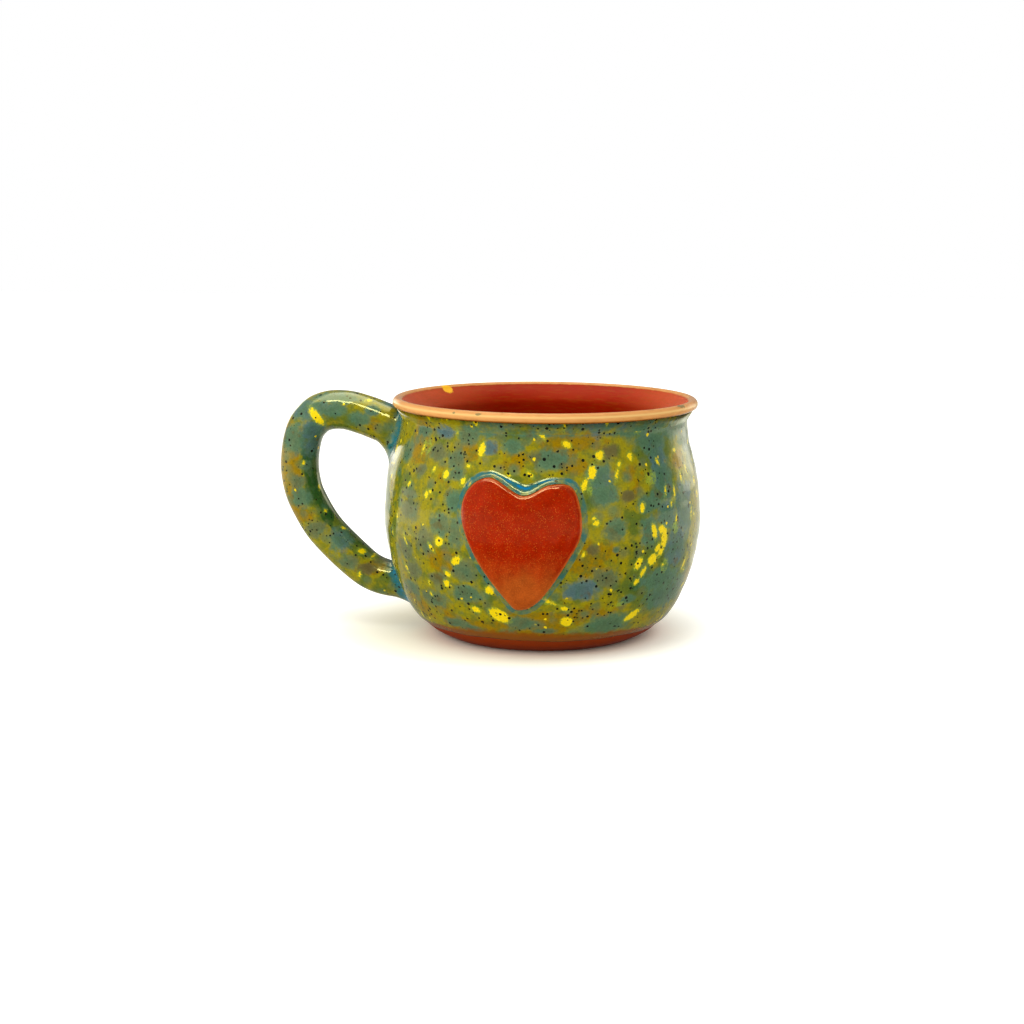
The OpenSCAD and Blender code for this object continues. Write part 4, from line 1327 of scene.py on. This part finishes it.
class MUG_OT_grip(bpy.types.Operator):
    """Makes the grip, the wiped coils at its joints and the slip under its ends"""
    bl_idname = "mug.grip"
    bl_label = "Grip and joints"

    def execute(self, context):
        scene = context.scene
        cup, glaze, grip = scene.mug_cup, scene.mug_glaze, scene.mug_grip
        wall = Wall(cup)
        handle = Grip(wall, cup, grip)
        tube = handle.tube(0)
        top_station, top_ring = handle.at_distance(tube, True, glaze.slip)
        low_station, low_ring = handle.at_distance(tube, False, glaze.slip)
        body = handle.middle_rows(tube, top_station, low_station, 70)
        rows = np.vstack([ends_on_wall(wall, top_ring, glaze.slip, CAP_ROWS)[:0:-1], body,
                          ends_on_wall(wall, low_ring, glaze.slip, CAP_ROWS)[1:]])
        solid("bent_grip", wall.thrown(rows), (79, 1, 4, 2), "red_clay", "handle")
        for name, node, ring in (("upper_slip", "upper_joint_slip", top_ring),
                                 ("lower_slip", "lower_joint_slip", low_ring)):
            foot_ring = wall.laid(ring, 0)
            rows = np.vstack([ends_on_wall(wall, wall.laid(ring, glaze.slip), glaze.slip, CAP_ROWS)[::-1],
                              ends_on_wall(wall, foot_ring, 0, CAP_ROWS)])
            solid(name, wall.thrown(rows), (CAP_ROWS - 1, 1, 1, 1), "slip", node)
        for name, node, upper in (("upper_wiped_coil", "upper_joint_coil", True),
                                  ("lower_wiped_coil", "lower_joint_coil", False)):
            fillet = handle.fillet_rows(tube, upper, 0, FILLET_ROWS)
            fillet = fillet if upper else fillet[::-1]
            root = wall.laid(handle.at_distance(tube, upper, 0)[1], 0)
            shares = np.linspace(0, 1, 5)[1:-1, None, None]
            back = wall.laid(root + shares * (fillet[0] - root), -HAIR)[::-1]
            up = root + shares * (fillet[-1] - root)
            rows = np.vstack([fillet, up[::-1], root[None], back[::-1]])
            solid(name, wall.thrown(rows), (FILLET_ROWS - 1, 1, 1, 1), "red_clay", node, loop=True)
        return {"FINISHED"}


class MUG_OT_grip_glaze(bpy.types.Operator):
    """Makes the mottled glaze on the grip and over its joints"""
    bl_idname = "mug.grip_glaze"
    bl_label = "Grip glaze"

    def execute(self, context):
        scene = context.scene
        cup, glaze, grip = scene.mug_cup, scene.mug_glaze, scene.mug_grip
        wall = Wall(cup)
        handle = Grip(wall, cup, grip)
        outer_tube, inner_tube = handle.tube(glaze.outside), handle.tube(0)
        base = glaze.outside - 0.04 * MM
        top = handle.fillet_rows(outer_tube, True, base, 14)
        low = handle.fillet_rows(outer_tube, False, base, 14)
        top_radii, low_radii = handle.fillet_radii(True), handle.fillet_radii(False)
        from_station = handle.at_distance(outer_tube, True, base + top_radii)[0]
        to_station = handle.at_distance(outer_tube, False, base + low_radii)[0]
        long_rows = handle.middle_rows(outer_tube, from_station, to_station, 200)[1:-1]
        outer = np.vstack([top, long_rows, low])
        inner_from = handle.at_distance(inner_tube, True, glaze.slip)[0]
        inner_to = handle.at_distance(inner_tube, False, glaze.slip)[0]
        inner = handle.middle_rows(inner_tube, inner_to, inner_from, 60)
        edges = [wall.laid(low[-1], 0), wall.laid(inner[0], 0), wall.laid(inner[-1], 0), wall.laid(top[0], 0)]
        rows = np.vstack([outer, edges[0][None], edges[1][None], inner, edges[2][None], edges[3][None]])
        normals = grid_normals(rows)
        centre = outer.mean(1, keepdims=True)
        if ((outer - centre) * normals[: len(outer)]).sum() < 0:
            normals = -normals
        lift = glaze.unevenness * swell(outer, 12 * MM, 5) * smoothstep(wall.distance(outer), 1 * MM, 5 * MM)
        lump = 0.16 * MM * swell(outer, 34 * MM, 8) * smoothstep(wall.distance(outer), 3 * MM, 12 * MM)
        rows[: len(outer)] += (lift + lump)[..., None] * normals[: len(outer)]
        off = wall.distance(rows)
        low_end = 1 - smoothstep(rows[..., 2], 12 * MM, 26 * MM)
        pool = (0.62 + 0.3 * low_end) * (1 - smoothstep(off, 0.6 * MM, 5.5 * MM))
        thin = np.zeros(off.shape)
        bent = wall.thrown(rows)
        solid("mottled_glaze_on_the_grip", bent, (len(outer) - 1, 1, 4, 2), "mottled_glaze", "handle_glaze",
              loop=True, values=pattern(bent, normals, thin, pool, 0.16))
        return {"FINISHED"}


class Heart:
    """The heart's outline and the slab built on it."""

    def __init__(self, wall, heart, glaze):
        shares = HEART_SHARES * (0.5 * heart.wide, heart.high) + (0, heart.middle - heart.high / 2)
        fine = curve_through(shares, 64, closed=True)
        loop = np.vstack([fine, fine[:1]])
        run = run_of(loop)
        self.outline = along(loop, np.arange(HEART_COLUMNS) / HEART_COLUMNS * run[-1])
        ahead = np.roll(self.outline, -1, 0) - np.roll(self.outline, 1, 0)
        self.outward = unit(np.stack([ahead[:, 1], -ahead[:, 0]], -1))
        self.centre = np.array([0, heart.middle + 0.04 * heart.high])
        self.wall, self.heart, self.glaze = wall, heart, glaze

    def from_edge(self, flat):
        """Distance of points in the heart's plane from its outline."""
        shape = flat.shape[:-1]
        points = flat.reshape(-1, 1, 2)
        a, b = self.outline, np.roll(self.outline, -1, 0)
        t = np.clip(((points - a) * (b - a)).sum(-1) / ((b - a) ** 2).sum(-1), 0, 1)
        return np.linalg.norm(points - a - t[..., None] * (b - a), axis=-1).min(-1).reshape(shape)

    def on_wall(self, flat, height):
        """Points (across, height) carried along -Y until they stand height off the cup's wall."""
        z = flat[..., 1]
        r = np.interp(z, self.wall.table[:, 1], self.wall.table[:, 0])
        y = -np.sqrt(np.maximum(r**2 - flat[..., 0] ** 2, 1e-9))
        points = np.stack([flat[..., 0], y, z], -1)
        for _ in range(4):
            points[..., 1] += (height - self.wall.distance(points)) / self.wall.normals(points)[..., 1]
        return points

    def face_rows(self, extra):
        """Rows from the slab's middle out to its edge. At a distance d in from the outline the face stands
        T - R + sqrt(R^2 - (R - d)^2) off the slip, with a soft crown and unevenness."""
        h, g = self.heart, self.glaze
        shares = 1 - (1 - np.linspace(0, 1, FACE_ROWS)) ** 2.2
        flat = self.centre + shares[:, None, None] * (self.outline - self.centre)
        inside = self.from_edge(flat)
        left = np.clip(h.shoulder - inside, 0, h.shoulder)
        height = g.slip + h.thick - h.shoulder + np.sqrt(h.shoulder**2 - left**2)
        soft = smoothstep(inside, 0.5 * MM, 6 * MM)
        rough = swell(np.stack([flat[..., 0], flat[..., 1], 0 * flat[..., 0]], -1), 11 * MM, 21)
        height = height + h.crown * (soft - 0.6) * soft + 0.07 * MM * rough * soft
        grown = flat + (extra * (1 - smoothstep(inside, 0, h.shoulder)))[..., None] * self.outward
        return self.on_wall(grown, height + extra), inside

    def side_rows(self, extra, bottom):
        """Rows down the slab's side, from its rounded edge to a height off the wall."""
        h, g = self.heart, self.glaze
        heights = np.linspace(g.slip + h.thick - h.shoulder + extra, bottom, SIDE_ROWS)[1:]
        flat = self.outline + extra * self.outward
        return np.array([self.on_wall(flat, np.full(HEART_COLUMNS, height)) for height in heights])


class MUG_OT_heart(bpy.types.Operator):
    """Makes the heart's slab, its slip, its glaze and the glaze pooled round it"""
    bl_idname = "mug.heart"
    bl_label = "Heart"

    def execute(self, context):
        scene = context.scene
        cup, glaze, sizes = scene.mug_cup, scene.mug_glaze, scene.mug_heart
        wall = Wall(cup)
        heart = Heart(wall, sizes, glaze)
        shares = np.linspace(1, 0, 12)[:, None, None]

        def base_rows(height):
            flat = heart.centre + shares * (heart.outline - heart.centre)
            return heart.on_wall(flat, np.full(flat.shape[:-1], height))

        face, inside = heart.face_rows(0)
        slab = np.vstack([face, heart.side_rows(0, glaze.slip), base_rows(glaze.slip)[1:]])
        solid("heart_slab", wall.thrown(with_poles(slab)), (FACE_ROWS + SIDE_ROWS - 1, 1, 1, 1), "heart_clay",
              "heart")
        under = with_poles(np.vstack([base_rows(glaze.slip)[::-1], base_rows(0)]))
        solid("slip_under_heart", wall.thrown(under), (11, 1, 1, 1), "slip", "heart_slip")
        coat_face, _ = heart.face_rows(glaze.heart)
        coat_side = heart.side_rows(glaze.heart, HAIR)
        inner_side = heart.side_rows(0, HAIR)[::-1]
        coat = with_poles(np.vstack([coat_face, coat_side, inner_side, face[::-1]]))
        rim = np.zeros(coat.shape[:-1])
        rim[: len(coat_face)] = 0.62 * (1 - smoothstep(inside, 0.1 * MM, 1.3 * MM))
        rim[len(coat_face): -len(face)] = 0.62
        solid("heart_red_glaze", wall.thrown(coat), (len(coat_face) + len(coat_side) - 1, 1, 1, 1),
              "heart_glaze", "heart_glaze", values={"rim": rim})
        self.pool(wall, heart, glaze, sizes)
        return {"FINISHED"}

    def pool(self, wall, heart, glaze, sizes):
        """The glaze pooled against the heart. At a share s of its width W out from the slab it stands
        0.11 W u above the coat round it, where u rises smoothly from 0 to 1 over the outer 0.36 of the
        width, plus 0.8 H (1 - s)^4 where it climbs the slab."""
        across, level = heart.outline.T
        up = smoothstep(heart.outward[:, 1], -0.15, 0.75) * smoothstep(level, sizes.middle, HEART_HIGH.z)
        notch = up * np.exp(-((across - sizes.notch) / sizes.notch_reach) ** 2)
        flow = 1 + 0.15 * swell(np.stack([across, level, 0 * up], -1), 9 * MM, 31)
        wide = (sizes.pool_wide_low + (sizes.pool_wide_top - sizes.pool_wide_low) * up) * flow
        wide = wide + sizes.notch_fill * notch
        high = sizes.pool_high_low + (sizes.pool_high_top - sizes.pool_high_low) * up
        shares = np.linspace(1, 0, 20)
        start = heart.glaze.heart - 0.1 * MM
        rows, pools = [], []
        for s in shares:
            flat = heart.outline + (start + s * wide)[:, None] * heart.outward
            step = 0.11 * wide * smoothstep(1 - s, 0, 0.36) + 0.8 * high * (1 - s) ** 4
            rows.append(heart.on_wall(flat, glaze.outside - 0.03 * MM + step))
            # The dark line below the pool's highlight: partly its thick glaze, partly a painted dark
            # reflection.
            line = math.exp(-((s - 0.58) / 0.13) ** 2)
            dark = line * up * (0.25 + 0.45 * notch)
            pools.append((1 - smoothstep(s, 0.86, 1)) * (0.36 + 0.06 * up) + dark)
        # The underside, from the slab out again: shares of the width and of the outer glaze's thickness
        for s, height in ((0, 0.9), (0, 0.1), (0.5, 0.1), (0.98, 0.1)):
            flat = heart.outline + (start - 0.25 * MM + s * wide)[:, None] * heart.outward
            rows.append(heart.on_wall(flat, np.full(HEART_COLUMNS, height * glaze.outside)))
            pools.append(np.zeros(HEART_COLUMNS))
        rows, pools = np.array(rows), np.array(pools)
        bent = wall.thrown(rows)
        thin = np.zeros(pools.shape)
        solid("pooled_glaze_round_heart", bent, (19, 1, 2, 1), "mottled_glaze", loop=True,
              values=pattern(bent, wall.normals(rows), thin, pools, 0.0))


def level_or_facing(place, target):
    """A turn that points +Z from a place to a target, or none without a target."""
    if target is None:
        return Matrix.Identity(4)
    return (Vector(target) - Vector(place)).to_track_quat("Z", "Y").to_matrix().to_4x4()


def plane(name, width, depth, place, material, facing=None):
    """A flat stage piece of four corners, level or turned to face a point, with its own map."""
    corners = np.array([(-1, -1, 0), (1, -1, 0), (1, 1, 0), (-1, 1, 0)]) * (width / 2, depth / 2, 0)
    mesh = bpy.data.meshes.new(name)
    mesh.from_pydata(corners.tolist(), [], [(0, 1, 2, 3)])
    mesh.uv_layers.new(name="card").data.foreach_set("uv", (0, 0, 1, 0, 1, 1, 0, 1))
    mesh.materials.append(material)
    mesh.transform(Matrix.Translation(place) @ level_or_facing(place, facing))
    piece = bpy.data.objects.new(name, mesh)
    bpy.context.scene.collection.objects.link(piece)
    return piece


def lamp(name, place, width, depth, power):
    """A white area lamp that looks at the mug and that the glaze doesn't mirror."""
    data = bpy.data.lights.new(name, "AREA")
    data.shape, data.size, data.size_y, data.energy = "RECTANGLE", width, depth, power
    piece = bpy.data.objects.new(name, data)
    piece.location = place
    piece.rotation_euler = (Vector(place) - Vector(LAMP_AIM)).to_track_quat("Z", "Y").to_euler()
    piece.visible_glossy = False
    piece.visible_camera = False
    bpy.context.scene.collection.objects.link(piece)


def close(tree, kind, shader):
    """Links a shader to its material's or world's output."""
    link_in(tree.nodes.new("ShaderNodeOutput" + kind).inputs[0], shader)


def floor_material(studio):
    """Warm white paper that keeps the shadow. As the camera sees it, it also glows: not at all under the foot
    and only a little and warmly round it, which paints a darker, warmer contact shadow, and enough to bring
    open floor up to white further out."""
    material = bpy.data.materials.new("white_paper")
    tree = emptied(material)
    place = add(tree, "TexCoord", out="Object")
    away = add(tree, "VectorMath", place, (studio.glow_aside, 0, 0), operation="DISTANCE", out="Value")
    foot = add(tree, "VectorMath", place, operation="LENGTH", out="Value")
    tone = blend(step_between(away, studio.glow_from, studio.glow_to), studio.painted_shadow_glow, studio.far_glow)
    tone = blend(step_between(foot, studio.contact_from, studio.contact_to), (0, 0, 0), tone)
    seen = add(tree, "LightPath", out="Is Camera Ray")
    glow = add(tree, "Emission", ("Color", tone), ("Strength", seen))
    close(tree, "Material", add(tree, "AddShader", add(tree, "BsdfDiffuse", ("Color", PAPER)), glow))
    return material


def white_surround(studio):
    """The world: a white surround, pure white as the camera sees it, and dimmer in the glaze."""
    world = bpy.context.scene.world or bpy.data.worlds.new("surround")
    bpy.context.scene.world = world
    tree = emptied(world)
    strength = studio.surround
    for ray, seen in (("Is Glossy Ray", studio.mirrored), ("Is Camera Ray", 1.0)):
        strength = add(tree, "MapRange", ("Value", add(tree, "LightPath", out=ray)), ("To Min", strength),
                       ("To Max", seen))
    close(tree, "World", add(tree, "Background", ("Color", (1, 1, 1)), ("Strength", strength)))


def card_material(name, strength, around, softness):
    """A glowing card: dark for a photographer's flag, or brighter than white. Towards its edges it fades to
    the strength of what lies around it, so that the glaze mirrors no hard edge."""
    material = bpy.data.materials.new(name)
    tree = emptied(material)
    on_card = add(tree, "TexCoord", out="UV")
    inside = maths("MINIMUM", *(0.5 - abs(add(tree, "SeparateXYZ", on_card, out=k) - 0.5) for k in (0, 1)))
    light = step_between(inside, 0.0, softness, around, strength)
    close(tree, "Material", add(tree, "Emission", ("Color", CARD_WHITE), ("Strength", light)))
    return material


def glossy_only(piece):
    """Hides a stage piece from all but mirrored light."""
    piece.visible_camera = piece.visible_diffuse = piece.visible_shadow = False
    piece.visible_transmission = piece.visible_volume_scatter = False


class MUG_OT_studio(bpy.types.Operator):
    """Makes the floor, the lights, the surround and the camera"""
    bl_idname = "mug.studio"
    bl_label = "Studio"

    def execute(self, context):
        studio = context.scene.mug_studio
        context.scene.view_settings.view_transform = "Standard"
        white_surround(studio)
        plane("floor", 4, 4, (0, 0, 0), floor_material(studio))
        around = studio.mirrored
        cards = {name: card_material(name, *look) for name, look in (
            ("dark_card", (studio.flag, around, 0.35)), ("low_card", (studio.flag, FLOOR_AROUND, 0.3)),
            ("left_card", (studio.left_card, around, 0.5)), ("right_card", (studio.right_card, around, 0.5)),
            ("ceiling", (studio.ceiling, around, 0.22)), ("window", (studio.window, around, 0.15)))}
        for name, card, width, depth, place, aim in CARDS:
            facing = None if aim is None else (0, 0, aim)
            glossy_only(plane(name, width, depth, place, cards[card], facing))
        lamp("overhead", (-0.1, -0.3, 0.8), 0.5, 0.35, studio.overhead)
        lamp("left", (-0.8, -0.6, 0.5), 1.1, 0.9, studio.left)
        view = PhotoView(studio)
        data = bpy.data.cameras.new("camera")
        data.lens, data.sensor_width = studio.lens, SENSOR_WIDTH
        data.clip_start, data.clip_end = 0.01, 20
        camera = bpy.data.objects.new("camera", data)
        camera.location = Vector(view.place)
        camera.rotation_euler = Matrix((view.right, view.up, view.back)).transposed().to_euler()
        context.scene.collection.objects.link(camera)
        context.scene.camera = camera
        return {"FINISHED"}


OPERATORS = (MUG_OT_cup, MUG_OT_body_glaze, MUG_OT_lining, MUG_OT_grip, MUG_OT_grip_glaze, MUG_OT_heart,
             MUG_OT_studio)
SETTINGS = (("mug_cup", MugCupSizes), ("mug_grip", MugGripSizes), ("mug_heart", MugHeartSizes),
            ("mug_glaze", MugGlazeSizes), ("mug_colours", MugColours), ("mug_studio", MugStudio))


class MUG_PT_panel(bpy.types.Panel):
    """Lists the mug's settings and the steps that make it"""
    bl_idname = "MUG_PT_panel"
    bl_label = "Thrown mug"
    bl_space_type = "VIEW_3D"
    bl_region_type = "UI"
    bl_category = "Mug"

    def draw(self, context):
        for name, kind in SETTINGS:
            box = self.layout.box()
            box.label(text=kind.__doc__.rstrip("."))
            for key in kind.__annotations__:
                box.prop(getattr(context.scene, name), key)
        for operator in OPERATORS:
            self.layout.operator(operator.bl_idname)


def register():
    """Registers the settings, the operators and the panel."""
    for name, kind in SETTINGS:
        bpy.utils.register_class(kind)
        setattr(bpy.types.Scene, name, bpy.props.PointerProperty(type=kind))
    for kind in (*OPERATORS, MUG_PT_panel):
        bpy.utils.register_class(kind)


def unregister():
    """Takes them out again."""
    for kind in (MUG_PT_panel, *reversed(OPERATORS)):
        bpy.utils.unregister_class(kind)
    for name, kind in reversed(SETTINGS):
        delattr(bpy.types.Scene, name)
        bpy.utils.unregister_class(kind)


def main():
    """Makes the mug and its studio."""
    register()
    for operator in OPERATORS:
        group_name, step = operator.bl_idname.split(".")
        getattr(getattr(bpy.ops, group_name), step)()


if __name__ == "__main__":
    main()
